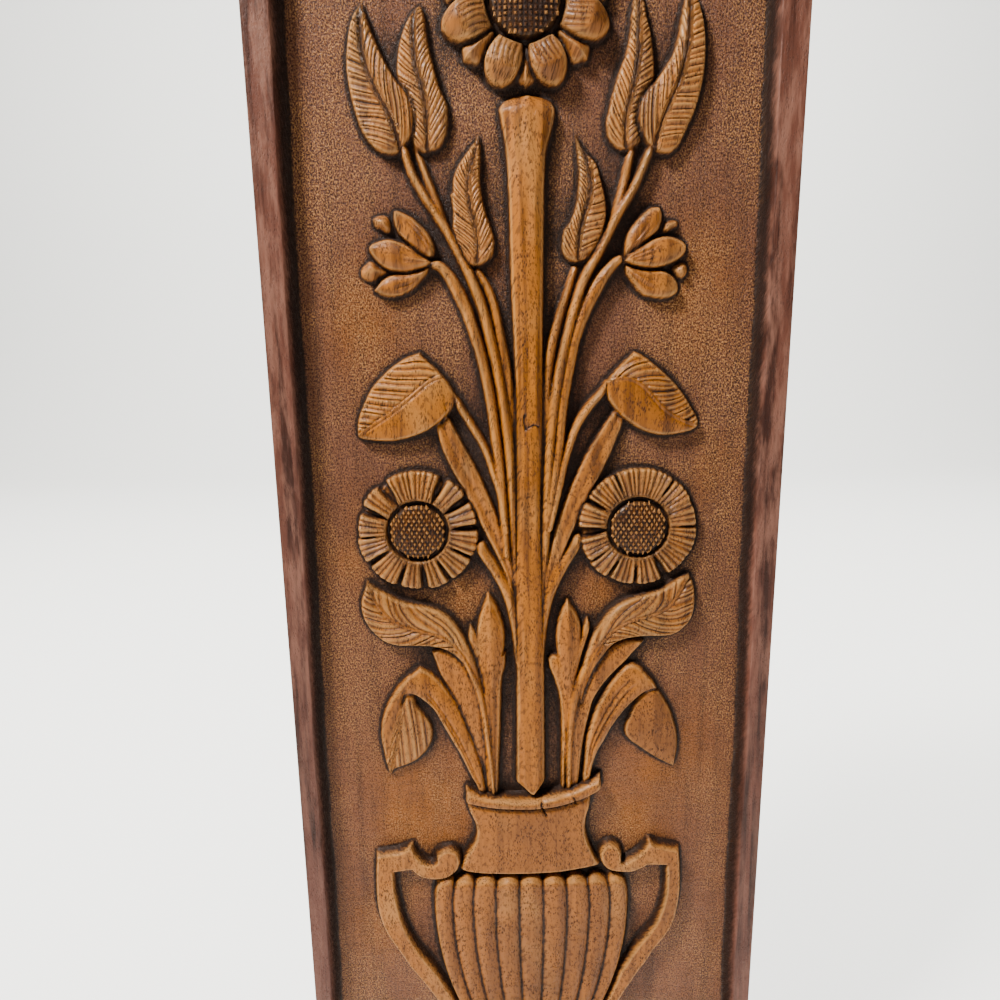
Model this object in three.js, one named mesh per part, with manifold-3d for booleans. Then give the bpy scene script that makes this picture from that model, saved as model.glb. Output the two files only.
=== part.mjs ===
// A tall wall plaque carved in relief from one board: an urn of flowers inside a raised border.
// Millimetres. The group stands as the plaque hangs: +Z up, back on the plane Y = 0, carving towards -Y.
// Inside the carving code x runs right, y up and z out of the board, measured from its back.

import * as THREE from 'three';
import Module from 'manifold-3d';

const wasm = await Module();
wasm.setup();

// The board
const panelWidth = 200;
const panelHeight = 600;
const panelThickness = 22;
const reliefDepth = 8;
const edgeBevel = 0.8;

// The raised border, a little wider at the top than at the foot, as the carver left it
const borderAtTop = 10.2;
const borderAtFoot = 5.8;
const borderSlope = 3.5;

// The drawing that every place below belongs to: it is fitted to the board's size
const drawnWidth = 200;
const drawnHeight = 600;
const across = panelWidth / drawnWidth;
const upwards = panelHeight / drawnHeight;

// Carved forms rise from the lowered ground, and are rooted a little below it
const ground = panelThickness - reliefDepth;
const rooted = 1;
const foot = ground - rooted;
const heightOf = (share) => ground + share * reliefDepth;

// Flower heads
const sunflower = { at: [0, 231.7], reach: 29.4, head: 12.6, petals: 8 };
const daisy = { places: [[-45.5, 37.8], [44.4, 38.3]], reach: 24.6, head: 11.2, petals: 10, flutes: 3 };

// Urn, from its rim down to its foot
const urn = { shoulder: -120.5, bottom: -238, belly: 44.4, waist: 8, reeds: 9, bellyAt: 0.17 };

// Steps smaller than this are left out of the joined solid
const smallestStep = 0.1;

const woodColour = 0x9a6230;

/** A value read from a short list spread evenly along a form, t from 0 to 1. */
function along(list, t) {
  const place = t * (list.length - 1);
  const i = Math.min(Math.floor(place), list.length - 2);
  return THREE.MathUtils.lerp(list[i], list[i + 1], place - i);
}

/** A smooth curve through places of the drawing. */
function curveThrough(places) {
  const points = places.map(([x, y]) => new THREE.Vector3(x * across, y * upwards, 0));
  return new THREE.CatmullRomCurve3(points, false, 'centripetal');
}

/** The sideways direction of a curve at t, to its left. */
function leftOf(curve, t) {
  const forward = curve.getTangent(t);
  return new THREE.Vector3(-forward.y, forward.x, 0);
}

/** Turns vertices and triangles into a solid with its faces pointing out. */
function solidFrom(points, triangles) {
  let volume = 0;
  for (const [a, b, c] of triangles) {
    volume += points[a].dot(new THREE.Vector3().crossVectors(points[b], points[c]));
  }
  const outward = volume < 0 ? triangles.map(([a, b, c]) => [a, c, b]) : triangles;
  return new wasm.Manifold(new wasm.Mesh({
    numProp: 3,
    vertProperties: new Float32Array(points.flatMap((p) => [p.x, p.y, p.z])),
    triVerts: new Uint32Array(outward.flat()),
  }));
}

/** A closed solid through a row of loops that all have the same number of points. */
function loft(loops) {
  const size = loops[0].length;
  const points = loops.flat();
  const triangles = [];
  for (let i = 0; i + 1 < loops.length; i++) {
    for (let j = 0; j < size; j++) {
      const a = i * size + j;
      const b = i * size + (j + 1) % size;
      triangles.push([a, b, b + size], [a, b + size, a + size]);
    }
  }
  for (const [start, flip] of [[0, true], [points.length - size, false]]) {
    const middle = new THREE.Vector3();
    for (let j = 0; j < size; j++) {
      middle.addScaledVector(points[start + j], 1 / size);
    }
    const hub = points.push(middle) - 1;
    for (let j = 0; j < size; j++) {
      const a = start + j;
      const b = start + (j + 1) % size;
      triangles.push(flip ? [hub, b, a] : [hub, a, b]);
    }
  }
  return solidFrom(points, triangles);
}

/** Height shares across a strand: places from -1 to 1 and how high each stands. */
function sectionShares(ridges, shoulder, groove) {
  if (ridges === 0) {
    return [[-1, shoulder], [-0.82, 1], [0.82, 1], [1, shoulder]];
  }
  if (ridges === 1) {
    return [[-1, shoulder], [0, 1], [1, shoulder]];
  }
  const shares = [[-1, shoulder]];
  for (let i = 0; i < ridges; i++) {
    const width = 2 / ridges;
    const crest = -1 + width * (i + 0.5);
    shares.push([crest, 1]);
    if (i < ridges - 1) {
      shares.push([crest + width / 2, groove]);
    }
  }
  shares.push([1, shoulder]);
  return shares;
}

/**
 * A stem, blade, band or vessel wall: a section drawn along a curve.
 * width is a list of full widths along it, rise a list of heights as shares of the relief.
 */
function strand({ path, width, rise, ridges = 1, shoulder = 0.72, groove = 0.78, dome = 0, steps = 8 }) {
  const curve = curveThrough(path);
  const shares = sectionShares(ridges, shoulder, groove);
  const loops = [];
  for (let i = 0; i <= steps; i++) {
    const t = i / steps;
    const centre = curve.getPoint(t);
    const left = leftOf(curve, t);
    const half = across * (typeof width === 'function' ? width(t) : along(width, t)) / 2;
    const top = along(rise, t);
    const at = (u, z) => centre.clone().addScaledVector(left, u * half).setZ(z);
    const crown = shares.map(([u, share]) => at(u, heightOf(top * share * (1 - dome * u * u))));
    loops.push([at(-1, foot), ...crown, at(1, foot)]);
  }
  return loft(loops);
}

/** How wide a leaf is at t, from 0 at its base to 0 at its tip, and 1 at its widest. */
function leafShape(t, baseRound, tipTaper) {
  const widest = baseRound / (baseRound + tipTaper);
  const shape = (s) => s ** baseRound * (1 - s) ** tipTaper;
  return shape(t) / shape(widest);
}

/**
 * A leaf or petal about its spine. Its ribs are chevrons that run from the midrib towards the tip.
 * left and right are half widths; a side with rib height 0 stays smooth.
 */
function leaf({
  spine, left, right, rise = 0.6, edge = 0.6, fall = 0.5, midrib = -0.35,
  baseRound = 0.5, tipTaper = 0.9, ribs = 0, ribLeft = 0.45, ribRight = 0.45, sweep = 0.45, steps = 7,
}) {
  const curve = curveThrough(spine);
  const stations = ribs > 0 ? ribs * 2 : steps;
  const narrowest = 0.3;
  const loops = [];
  for (let i = 0; i <= stations; i++) {
    const t = i / stations;
    const swept = ribs > 0 ? t + sweep * t * (1 - t) : t;
    const onSpine = curve.getPoint(t);
    const crest = i % 2 === 0 ? 1 : -1;
    const lift = rise * (1 - fall * t * t);
    const sides = [[1, left, ribLeft], [-1, right, ribRight]].map(([way, half, rib]) => {
      const wide = across * Math.max(narrowest, half * leafShape(swept, baseRound, tipTaper));
      const rim = curve.getPoint(swept).addScaledVector(leftOf(curve, swept), way * wide);
      const ribHeight = ribs > 0 ? crest * rib * Math.min(1, wide / (4 * across)) / 2 : 0;
      return {
        under: rim.clone().setZ(foot),
        rim: rim.clone().setZ(heightOf(lift * edge) + ribHeight),
        blade: onSpine.clone().lerp(rim, 0.5).setZ(heightOf(lift) + ribHeight),
      };
    });
    const rib = onSpine.clone().setZ(heightOf(lift) + midrib);
    const [l, r] = sides;
    loops.push([l.under, l.rim, l.blade, rib, r.blade, r.rim, r.under]);
  }
  return loft(loops);
}

/**
 * A round form: rings about a centre, each giving its radius and height at an angle step.
 * The last ring drops straight to the root.
 */
function roundForm(at, steps, crown, rings) {
  const centre = new THREE.Vector3(at[0] * across, at[1] * upwards, 0);
  const place = (radius, k, z) => {
    const angle = (k / steps) * Math.PI * 2;
    return new THREE.Vector3(Math.cos(angle), Math.sin(angle), 0)
      .multiplyScalar(radius * across).add(centre).setZ(z);
  };
  const last = rings[rings.length - 1];
  const rows = [...rings, (k) => [last(k)[0], foot]];
  const points = rows.flatMap((ring) => Array.from({ length: steps }, (_, k) => place(ring(k)[0],
    k, ring(k)[1])));
  const apex = points.push(centre.clone().setZ(crown)) - 1;
  const base = points.push(centre.clone().setZ(foot)) - 1;
  const triangles = [];
  for (let k = 0; k < steps; k++) {
    const next = (k + 1) % steps;
    triangles.push([apex, k, next]);
    for (let r = 0; r + 1 < rows.length; r++) {
      const a = r * steps + k;
      const b = r * steps + next;
      triangles.push([a, a + steps, b], [b, a + steps, b + steps]);
    }
    const bottom = (rows.length - 1) * steps;
    triangles.push([base, bottom + next, bottom + k]);
  }
  return solidFrom(points, triangles);
}

/** The domed head of a flower. */
function seedHead(at, radius, rise, sectors) {
  const rings = 3;
  const domeDrop = 0.3;
  const dome = [];
  for (let r = 1; r <= rings; r++) {
    const share = r / rings;
    dome.push(() => [radius * share, heightOf(rise * (1 - domeDrop * share * share))]);
  }
  return roundForm(at, sectors, heightOf(rise), dome);
}

/** A daisy: a ring of fluted petals, notched between them, round a seed head. */
function daisyAt(at) {
  const perPetal = daisy.flutes * 2;
  const steps = daisy.petals * perPetal;
  const fluteDepth = 0.9;
  const notch = 2;
  const isNotch = (k) => k % perPetal === 0;
  const groove = (k) => (k % 2 === 0 ? fluteDepth : 0);
  const petals = roundForm(at, steps, heightOf(0.3), [
    (k) => [daisy.head * 0.9, heightOf(0.34) - groove(k) * 0.3],
    (k) => [daisy.reach * 0.75, heightOf(0.62) - groove(k)],
    (k) => [daisy.reach - (isNotch(k) ? notch : groove(k) / 2), heightOf(0.5) - groove(k)],
  ]);
  return petals.add(seedHead(at, daisy.head, 0.8, 18));
}

/** The sunflower: pointed sepals behind a ring of round petals, about a seed head. */
function sunflowerHead() {
  const { at: [cx, cy], reach, head, petals } = sunflower;
  const turn = (Math.PI * 2) / petals;
  const ray = (angle, radius) => [cx + Math.cos(angle) * radius, cy + Math.sin(angle) * radius];
  let flower = seedHead(sunflower.at, head, 0.9, 20);
  for (let i = 0; i < petals; i++) {
    const petalAngle = (i + 0.5) * turn;
    flower = flower.add(strand({
      path: [ray(i * turn, head * 0.8), ray(i * turn, reach * 0.94)],
      width: [8, 8, 0.6], rise: [0.55, 0.4], steps: 2,
    }));
    flower = flower.add(leaf({
      spine: [ray(petalAngle, head * 0.75), ray(petalAngle, reach)],
      left: 8, right: 8, rise: 0.98, edge: 0.66, fall: 0.28, midrib: 0, baseRound: 0.45,
      tipTaper: 0.28, steps: 5,
    }));
  }
  return flower;
}

/** A bell-shaped bud seen from the side: petals spread from one joint, with knobs between them. */
function lily({ petals, knobs }) {
  const parts = petals.map(({ from, to, half, rise }) => leaf({
    spine: [from, to],
    left: half, right: half, rise, edge: 0.4, fall: 0.25, midrib: 0, baseRound: 0.75, tipTaper: 0.6,
    steps: 5,
  }));
  for (const { at, radius } of knobs) {
    parts.push(roundForm(at, 8, heightOf(0.42), [
      () => [radius * 0.6, heightOf(0.38)],
      () => [radius, heightOf(0.2)],
    ]));
  }
  return parts;
}

/** The urn: foot, reeded body, waisted neck, rim and two handles that end in scrolls. */
function urnParts() {
  const bodyWidth = (t) => {
    const u = Math.max(0, (t - urn.bellyAt) / (1 - urn.bellyAt));
    const shoulderRound = Math.min(1, 0.9 + t);
    return 2 * shoulderRound * (urn.waist + (urn.belly - urn.waist) * (1 - u * u));
  };
  const handle = (path, width) => strand({ path, width, rise: [0.62, 0.66, 0.62], ridges: 0,
    shoulder: 0.7, steps: 9 });
  const scroll = (at) => roundForm(at, 12, heightOf(0.74), [
    () => [3.4, heightOf(0.7)],
    () => [4.7, heightOf(0.5)],
  ]);
  return [
    strand({
      path: [[0, urn.shoulder], [0, urn.bottom]],
      width: bodyWidth, rise: [0.9, 0.98, 0.95, 0.7], ridges: urn.reeds, groove: 0.8, dome: 0.35,
      steps: 9,
    }),
    strand({
      path: [[-0.4, -80], [-0.4, -97], [-0.4, -119.5]],
      width: [57, 50, 47.4, 49, 54, 62.5], rise: [0.75, 0.7, 0.7, 0.75], ridges: 0, shoulder: 0.62,
      steps: 6,
    }),
    strand({ path: [[-29.6, -82], [1.3, -85.4], [31.2, -79.6]], width: [5, 7, 6],
      rise: [0.85, 0.98, 0.85], steps: 8 }),
    strand({
      path: [[0, -235], [0, -245], [0, -256]],
      width: [20, 14, 20, 44], rise: [0.7, 0.66, 0.7], ridges: 1, shoulder: 0.6, steps: 6,
    }),
    strand({ path: [[-26, -259], [26, -259]], width: [7, 7], rise: [0.8, 0.8], ridges: 0,
      shoulder: 0.7, steps: 1 }),
    handle([[-37, -118.6], [-44.5, -119.8], [-50.5, -115], [-54.2, -111.8], [-67, -115.6]],
      [4.5, 5, 6.5, 7.6, 7.6]),
    handle([[-65.4, -112.2], [-65.4, -131], [-63.4, -147.6], [-57, -161.6], [-48, -176],
      [-36.4, -195]], [7.5, 7.4, 7]),
    scroll([-36.9, -113.9]),
    handle([[36, -118.4], [43, -119.4], [50, -114.6], [54, -111.4], [65, -113.6]],
      [4.5, 5, 6.5, 7.2, 7.2]),
    handle([[63.4, -110.6], [63.8, -131], [61.4, -147], [54.2, -161], [45, -174.6], [35, -193]],
      [6.8, 6.8, 7]),
    scroll([35.8, -113.2]),
  ];
}

/** The middle stem, flared at its cut top, with the stems that spring from it on both sides. */
function stemParts() {
  const stem = (path, width, rise, more = {}) => strand({ path, width, rise, steps: 7, ...more });
  return [
    stem([[0.4, 200], [0, 160], [0.3, 60], [0, -20], [0.5, -81]],
      [20, 11.8, 11.4, 10.6, 10.8, 11.6, 12.4, 11.8, 11.4, 9], [0.72, 0.74, 0.8, 0.82], { steps: 10 }),
    // to the upper leaves and the lilies, left and right
    stem([[-46, 186], [-41.3, 172.3], [-28.8, 152], [-18.5, 128.6], [-12.5, 97], [-6, 40], [-2.5, -12]],
      [3.4, 4, 4.6, 4.6, 4.6, 4.4, 3], [0.5, 0.62, 0.68, 0.7]),
    stem([[-36, 183], [-37.4, 174], [-31.5, 158]], [2.4, 3, 2], [0.3, 0.42], { steps: 3 }),
    stem([[-34.6, 143.4], [-27.5, 136], [-19.8, 118], [-14, 92], [-8.6, 50], [-5, 10]],
      [4.6, 4.4, 4.2, 4, 3], [0.6, 0.56, 0.6]),
    stem([[-18.6, 140], [-13.4, 126], [-9, 100], [-5.4, 60], [-3, 10]], [3, 4.4, 4.4, 4, 3],
      [0.34, 0.5, 0.62]),
    stem([[46.6, 182], [40.2, 168.6], [28.4, 148], [19, 126], [13, 97], [7.4, 45], [3, -12]],
      [3.4, 4, 4.6, 4.6, 4.4, 4.2, 3], [0.5, 0.62, 0.68, 0.7]),
    stem([[38.6, 181], [35.8, 171], [32, 158]], [2.4, 3, 2], [0.3, 0.42], { steps: 3 }),
    stem([[35, 143], [27.4, 135], [20.5, 121], [15.8, 98], [10.6, 60], [6, 15]],
      [4.6, 4.4, 4.2, 4, 3], [0.6, 0.56, 0.6]),
    stem([[18, 139], [13.6, 126], [9.6, 104], [6, 60], [3.6, 10]], [3, 4.2, 4, 3.6, 3],
      [0.34, 0.5, 0.6]),
    // to the broad leaves
    stem([[-32.5, 88], [-24.4, 74], [-16.6, 56], [-9.4, 34], [-5, 12]], [7, 9, 8, 5.6, 3],
      [0.36, 0.42, 0.5]),
    stem([[-29, 95], [-23.4, 85], [-17.6, 72], [-12.6, 54], [-7, 26]], [2.4, 3, 3.2, 3],
      [0.62, 0.6, 0.6]),
    stem([[34, 90], [26, 76], [18.6, 57], [11.4, 36], [6, 12]], [6, 8.6, 8, 5.6, 3], [0.36, 0.42, 0.5]),
    stem([[31.4, 96], [24.4, 87], [18.4, 74], [13.4, 56], [8, 28]], [2.6, 3.2, 3.2, 3],
      [0.62, 0.6, 0.6]),
    // to the daisies
    stem([[-19.6, 30], [-13.2, 20], [-8, 8], [-3.6, -10]], [4.6, 4.4, 4.4, 4], [0.56, 0.6, 0.66],
      { steps: 5 }),
    stem([[19.4, 31.4], [13.6, 22], [8.2, 10], [3.4, -10]], [4.6, 4.4, 4.4, 4], [0.56, 0.6, 0.66],
      { steps: 5 }),
  ];
}

/** Ribbed leaves, from the top of the plaque down. */
function leafParts() {
  const slim = { baseRound: 0.42, tipTaper: 0.85, ribs: 8 };
  const broad = { baseRound: 0.3, tipTaper: 0.6, ribs: 8, sweep: 0.2 };
  const curled = { baseRound: 0.85, tipTaper: 0.42, ribs: 7, sweep: 0.25 };
  return [
    leaf({ spine: [[-35.4, 181.6], [-37.4, 199], [-40.4, 212], [-37.6, 231.5]], left: 7.6, right: 7.8,
      rise: 0.46, ...slim }),
    leaf({ spine: [[-48.6, 181.4], [-51.5, 195], [-57.4, 211], [-59.6, 232]], left: 11, right: 9.8,
      rise: 0.66, ...slim }),
    leaf({ spine: [[-19, 141.6], [-20, 157], [-22, 171], [-17, 187.5]], left: 7.4, right: 6.2,
      rise: 0.46, ...slim }),
    leaf({ spine: [[35, 181], [38, 199], [41, 214], [40.5, 234]], left: 7.6, right: 7.4,
      rise: 0.44, ...slim }),
    leaf({ spine: [[47.6, 180.4], [51, 196], [56.8, 210], [59, 236]], left: 9.6, right: 10.6,
      rise: 0.66, ...slim }),
    leaf({ spine: [[18.6, 142.4], [21, 157], [24, 168], [18.4, 187]], left: 6.6, right: 6.8,
      rise: 0.46, ...slim }),
    leaf({ spine: [[-33, 101], [-47, 91], [-67.6, 76.4]], left: 13.2, right: 12.4, rise: 0.7,
      ribLeft: 0, ...broad }),
    leaf({ spine: [[32.4, 99.6], [47, 91.4], [66.8, 78.2]], left: 11.8, right: 12.6, rise: 0.66,
      ribRight: 0, ...broad }),
    leaf({ spine: [[-23.4, -22], [-30.9, -10.6], [-45, -3.6], [-58, 2.4], [-67.4, 15.6]],
      left: 11.4, right: 10, rise: 0.62, ribRight: 0.2, ...curled }),
    leaf({ spine: [[22.4, -22], [31.4, -8.7], [44, -1.4], [58, 4.6], [65.4, 17.6]],
      left: 9.6, right: 10, rise: 0.62, ribLeft: 0.2, ...curled }),
  ];
}

/** Buds, blades and folded leaves that fill the mouth of the urn. */
function lowerParts() {
  const petal = (spine, half, rise, more = {}) => leaf({
    spine, left: half, right: half, rise, edge: 0.5, fall: 0.2, midrib: 0.3, baseRound: 0.7,
      tipTaper: 0.7, steps: 5, ...more,
  });
  const stem = (path, width, rise, more = {}) => strand({ path, width, rise, steps: 5, ...more });
  const fullAtTip = { baseRound: 0.75, tipTaper: 0.5, midrib: -0.3, steps: 7 };
  return [
    // buds
    petal([[-15, -30], [-15.6, -8], [-17, 10]], 5.8, 0.62),
    petal([[-16, -34], [-20, -14], [-25.4, -4]], 2.4, 0.46),
    petal([[-14, -40], [-12, -28], [-10.2, -17.6]], 2.2, 0.46),
    stem([[-14.6, -12], [-15, -50], [-15, -74]], [7.4, 5.2, 3.4], [0.6, 0.56, 0.5], { steps: 4 }),
    petal([[14.6, -30], [15.6, -8], [14.6, 8]], 5, 0.62),
    petal([[16, -34], [20, -14], [24, -0.6]], 2.4, 0.46),
    petal([[14, -40], [11.6, -28], [9, -16.6]], 2.2, 0.46),
    stem([[14.8, -12], [14.6, -50], [14.2, -76]], [6.4, 4.6, 3], [0.6, 0.56, 0.5], { steps: 4 }),
    // stems of the curled leaves
    stem([[-24.2, -20], [-21.4, -32], [-18.8, -49], [-17, -73]], [4, 3.6, 3.2, 3], [0.56, 0.6]),
    stem([[23.6, -20], [20, -32], [17.6, -48], [17, -76]], [4, 4, 3.8, 3.4], [0.56, 0.6]),
    // blades behind
    stem([[-38.6, -17], [-30.6, -26], [-24.6, -42], [-20, -60], [-18, -74]], [1.5, 6, 8, 6, 4],
      [0.3, 0.4, 0.44]),
    stem([[47, -12], [35.4, -22], [26.4, -34], [20.6, -52], [18, -74]], [1.5, 6.6, 9, 6, 4],
      [0.3, 0.4, 0.44]),
    // folded blades with the leaf that droops from each
    petal([[-48, -27.5], [-52, -48], [-59.6, -73]], 9.8, 0.4, fullAtTip),
    petal([[51, -29], [51.8, -48], [60, -70.6]], 9.8, 0.36, fullAtTip),
    stem([[-50.4, -25.6], [-41, -30], [-33.4, -41.4], [-26.4, -58], [-20, -76.5]],
      [4, 8.6, 8.6, 6.6, 3.4],
      [0.52, 0.62, 0.58], { ridges: 3, steps: 8 }),
    stem([[50.6, -24], [40.4, -30.4], [32, -42], [25.6, -57], [22.4, -72]], [5, 9, 8.4, 6.4, 4],
      [0.52, 0.62, 0.58], { ridges: 3, steps: 8 }),
  ];
}

/** The lilies that spread to both sides at the ends of their stems. */
function lilyParts() {
  return [
    ...lily({
      petals: [
        { from: [-35.6, 137], to: [-48.5, 131], half: 2.6, rise: 0.4 },
        { from: [-36, 140.6], to: [-57.6, 134.4], half: 3.4, rise: 0.56 },
        { from: [-36, 144], to: [-49.4, 162], half: 4.4, rise: 0.6 },
        { from: [-35.6, 141.8], to: [-59.6, 147.8], half: 5.8, rise: 0.74 },
      ],
      knobs: [{ at: [-54.9, 156.5], radius: 3 }, { at: [-60, 140.2], radius: 3.4 }],
    }),
    ...lily({
      petals: [
        { from: [36, 139.4], to: [57.6, 130], half: 5, rise: 0.5 },
        { from: [36.6, 144.6], to: [50.4, 161], half: 4.2, rise: 0.6 },
        { from: [35.4, 142], to: [60.4, 148.2], half: 5.6, rise: 0.7 },
      ],
      knobs: [{ at: [53.4, 156], radius: 2.4 }, { at: [58.1, 139.2], radius: 3.2 }],
    }),
  ];
}

/** The board: bevelled edges, a raised border and, inside its slope, the lowered ground. */
function boardBlank() {
  const rectangle = (inset, z) => {
    const w = panelWidth / 2 - inset;
    const h = panelHeight / 2 - inset;
    return [[-w, -h], [w, -h], [w, h], [-w, h]].map(([x, y]) => new THREE.Vector3(x, y, z));
  };
  const insideBorder = (slope, z) => {
    const low = borderAtFoot + slope;
    const high = borderAtTop + slope;
    const w = panelWidth / 2;
    const h = panelHeight / 2;
    return [[-w + low, -h + low], [w - low, -h + low], [w - high, h - high], [-w + high, h - high]]
      .map(([x, y]) => new THREE.Vector3(x, y, z));
  };
  return loft([
    rectangle(edgeBevel, 0),
    rectangle(0, edgeBevel),
    rectangle(0, panelThickness - edgeBevel),
    rectangle(edgeBevel, panelThickness),
    insideBorder(0, panelThickness),
    insideBorder(borderSlope, ground),
  ]);
}

/** The whole plaque as one body, since it is carved from one board. */
function carvedPanel() {
  const forms = [
    ...urnParts(), ...lowerParts(), ...stemParts(), ...leafParts(), ...lilyParts(),
    ...daisy.places.map(daisyAt), sunflowerHead(),
  ];
  const body = forms.reduce((whole, form) => whole.add(form), boardBlank()).simplify(smallestStep);
  const { vertProperties, triVerts } = body.getMesh();
  const geometry = new THREE.BufferGeometry();
  geometry.setAttribute('position', new THREE.BufferAttribute(Float32Array.from(vertProperties), 3));
  geometry.setIndex(new THREE.BufferAttribute(Uint32Array.from(triVerts), 1));
  geometry.computeVertexNormals();
  return geometry;
}

const stainedWood = new THREE.MeshStandardMaterial({
  color: woodColour, roughness: 0.5, metalness: 0, flatShading: true,
});
const plaque = new THREE.Mesh(carvedPanel(), stainedWood);
plaque.name = 'carved_panel';
plaque.rotation.x = Math.PI / 2;

const group = new THREE.Group();
group.add(plaque);

export default group;
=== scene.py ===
import math
import bpy
import bmesh
import numpy as np
from mathutils import Matrix, Vector


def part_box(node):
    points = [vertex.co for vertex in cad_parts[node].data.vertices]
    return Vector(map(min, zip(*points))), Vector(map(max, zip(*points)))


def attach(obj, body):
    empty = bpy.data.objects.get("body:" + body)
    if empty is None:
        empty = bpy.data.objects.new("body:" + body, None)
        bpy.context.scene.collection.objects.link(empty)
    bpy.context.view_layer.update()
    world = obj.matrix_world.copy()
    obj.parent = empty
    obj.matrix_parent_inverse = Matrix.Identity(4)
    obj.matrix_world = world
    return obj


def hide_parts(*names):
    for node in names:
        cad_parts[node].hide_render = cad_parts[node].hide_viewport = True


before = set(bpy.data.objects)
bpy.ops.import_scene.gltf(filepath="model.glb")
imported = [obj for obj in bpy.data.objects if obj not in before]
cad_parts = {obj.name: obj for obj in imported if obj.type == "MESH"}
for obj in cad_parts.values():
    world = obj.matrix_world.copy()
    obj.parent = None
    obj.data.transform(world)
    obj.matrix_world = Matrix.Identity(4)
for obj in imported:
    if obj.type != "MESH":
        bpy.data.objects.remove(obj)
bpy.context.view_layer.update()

boxLow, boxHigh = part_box("carved_panel")
print("stage: frame loaded")


# the board, in millimetres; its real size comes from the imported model's box
panel = {"width": 200.0, "height": 600.0, "thickness": 22.0, "relief": 8.0}
surface = {
    "pitch": 0.4,          # distance between neighbouring points of the carved face
    "wall": 0.8,           # how far a form's side leans out at its foot
    "edge": 0.6,           # rounding of its upper edge
    "knifeCut": 0.8,       # depth of the cut that sets it off from what lies under it
    "wear": 0.16,          # how softly hands and wax have rounded everything
}
border = {"top": 10.2, "foot": 5.8, "slope": 3.4, "rise": 8.0}

columns = int(round(panel["width"] / surface["pitch"])) + 1
rows = int(round(panel["height"] / surface["pitch"])) + 1
acrossMm = np.linspace(-panel["width"] / 2, panel["width"] / 2, columns)
upMm = np.linspace(-panel["height"] / 2, panel["height"] / 2, rows)
height = np.zeros((rows, columns))      # millimetres above the lowered ground
formMask = np.zeros((rows, columns))    # 1 on the carved forms
warmth = np.zeros((rows, columns))      # 1 where the wood is golden, 0 where it is paler and pinker; the pale, pink leaves at the top are partly painted light
stainAndShade = np.zeros((rows, columns))       # 1 in the cuts and gaps, painted dark: the dark stain that has stayed there, and painted shade
ribCount = np.zeros((rows, columns))    # counts on by one from each fine rib to the next
ribHold = np.zeros((rows, columns))     # how deep the fine ribs are cut there, 0 to 1


def ease(low, high, value):
    t = np.clip((value - low) / (high - low), 0, 1)
    return t * t * (3 - 2 * t)


# a smooth line through a few places, as evenly spaced points
def bendPath(places, count=64):
    knots = np.array(places, float)
    chord = np.sqrt(np.hypot(*np.diff(knots, axis=0).T))
    at = np.concatenate([[0], np.cumsum(chord)])
    if len(knots) > 2:
        tangent = np.gradient(knots, at, axis=0)
    else:
        tangent = np.repeat((knots[1:] - knots[:1]) / at[1], 2, 0)
    fine = np.linspace(0, at[-1], count * 3)
    i = np.clip(np.searchsorted(at, fine, side="right") - 1, 0, len(knots) - 2)
    span = (at[i + 1] - at[i])[:, None]
    t = ((fine - at[i])[:, None]) / span
    line = ((2 * t ** 3 - 3 * t ** 2 + 1) * knots[i] + (t ** 3 - 2 * t ** 2 + t) * span * tangent[i]
            + (3 * t ** 2 - 2 * t ** 3) * knots[i + 1] + (t ** 3 - t ** 2) * span * tangent[i + 1])
    length = np.concatenate([[0], np.cumsum(np.hypot(*np.diff(line, axis=0).T))])
    even = np.linspace(0, length[-1], count)
    return np.stack([np.interp(even, length, line[:, 0]), np.interp(even, length, line[:, 1])], 1)


# a closed outline from its first place round to it again; a place given twice is a corner
def outlineThrough(places):
    runs = [[places[0]]]
    for before, place in zip(places, places[1:] + places[:1]):
        if place == before:
            runs.append([place])
        else:
            runs[-1].append(place)
    runs = [run for run in runs if len(run) > 1]
    lines = [bendPath(run, 10 + 7 * len(run))[:-1] for run in runs]
    return np.concatenate(lines)


# numbers spread evenly along a form, read smoothly at a share from 0 to 1
def spread(values, share):
    values = np.atleast_1d(np.array(values, float))
    if len(values) == 1:
        return np.full_like(share, values[0])
    at = np.linspace(0, 1, len(values))
    if len(values) == 2:
        return np.interp(share, at, values)
    slope = np.gradient(values, at)
    i = np.clip((share * (len(values) - 1)).astype(int), 0, len(values) - 2)
    span = at[1]
    t = (share - at[i]) / span
    return ((2 * t ** 3 - 3 * t ** 2 + 1) * values[i] + (t ** 3 - 2 * t ** 2 + t) * span * slope[i]
            + (3 * t ** 2 - 2 * t ** 3) * values[i + 1] + (t ** 3 - t ** 2) * span * slope[i + 1])


# the part of the face round some points: its slices and its places in millimetres
def around(points, margin):
    low = np.min(points, axis=0) - margin
    high = np.max(points, axis=0) + margin
    rowsThere = slice(*np.searchsorted(upMm, [low[1], high[1]]))
    columnsThere = slice(*np.searchsorted(acrossMm, [low[0], high[0]]))
    return ((rowsThere, columnsThere), *np.meshgrid(acrossMm[columnsThere], upMm[rowsThere]))


# where each place lies by a line: share of its length, millimetres to its left, and the line's length
def alongLine(x, z, line):
    nearest = np.full(x.shape, 1e9)
    share = np.zeros(x.shape)
    side = np.zeros(x.shape)
    steps = len(line) - 1
    for i in range(steps):
        (ax, az), (bx, bz) = line[i], line[i + 1]
        dx, dz = bx - ax, bz - az
        held = np.clip(((x - ax) * dx + (z - az) * dz) / (dx * dx + dz * dz), 0, 1)
        away = np.hypot(x - ax - held * dx, z - az - held * dz)
        closer = away < nearest
        nearest[closer] = away[closer]
        share[closer] = (i + held[closer]) / steps
        side[closer] = np.sign((z - az) * dx - (x - ax) * dz)[closer]
    length = np.hypot(*np.diff(line, axis=0).T).sum()
    return share, nearest * np.where(side == 0, 1, side), length


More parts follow.
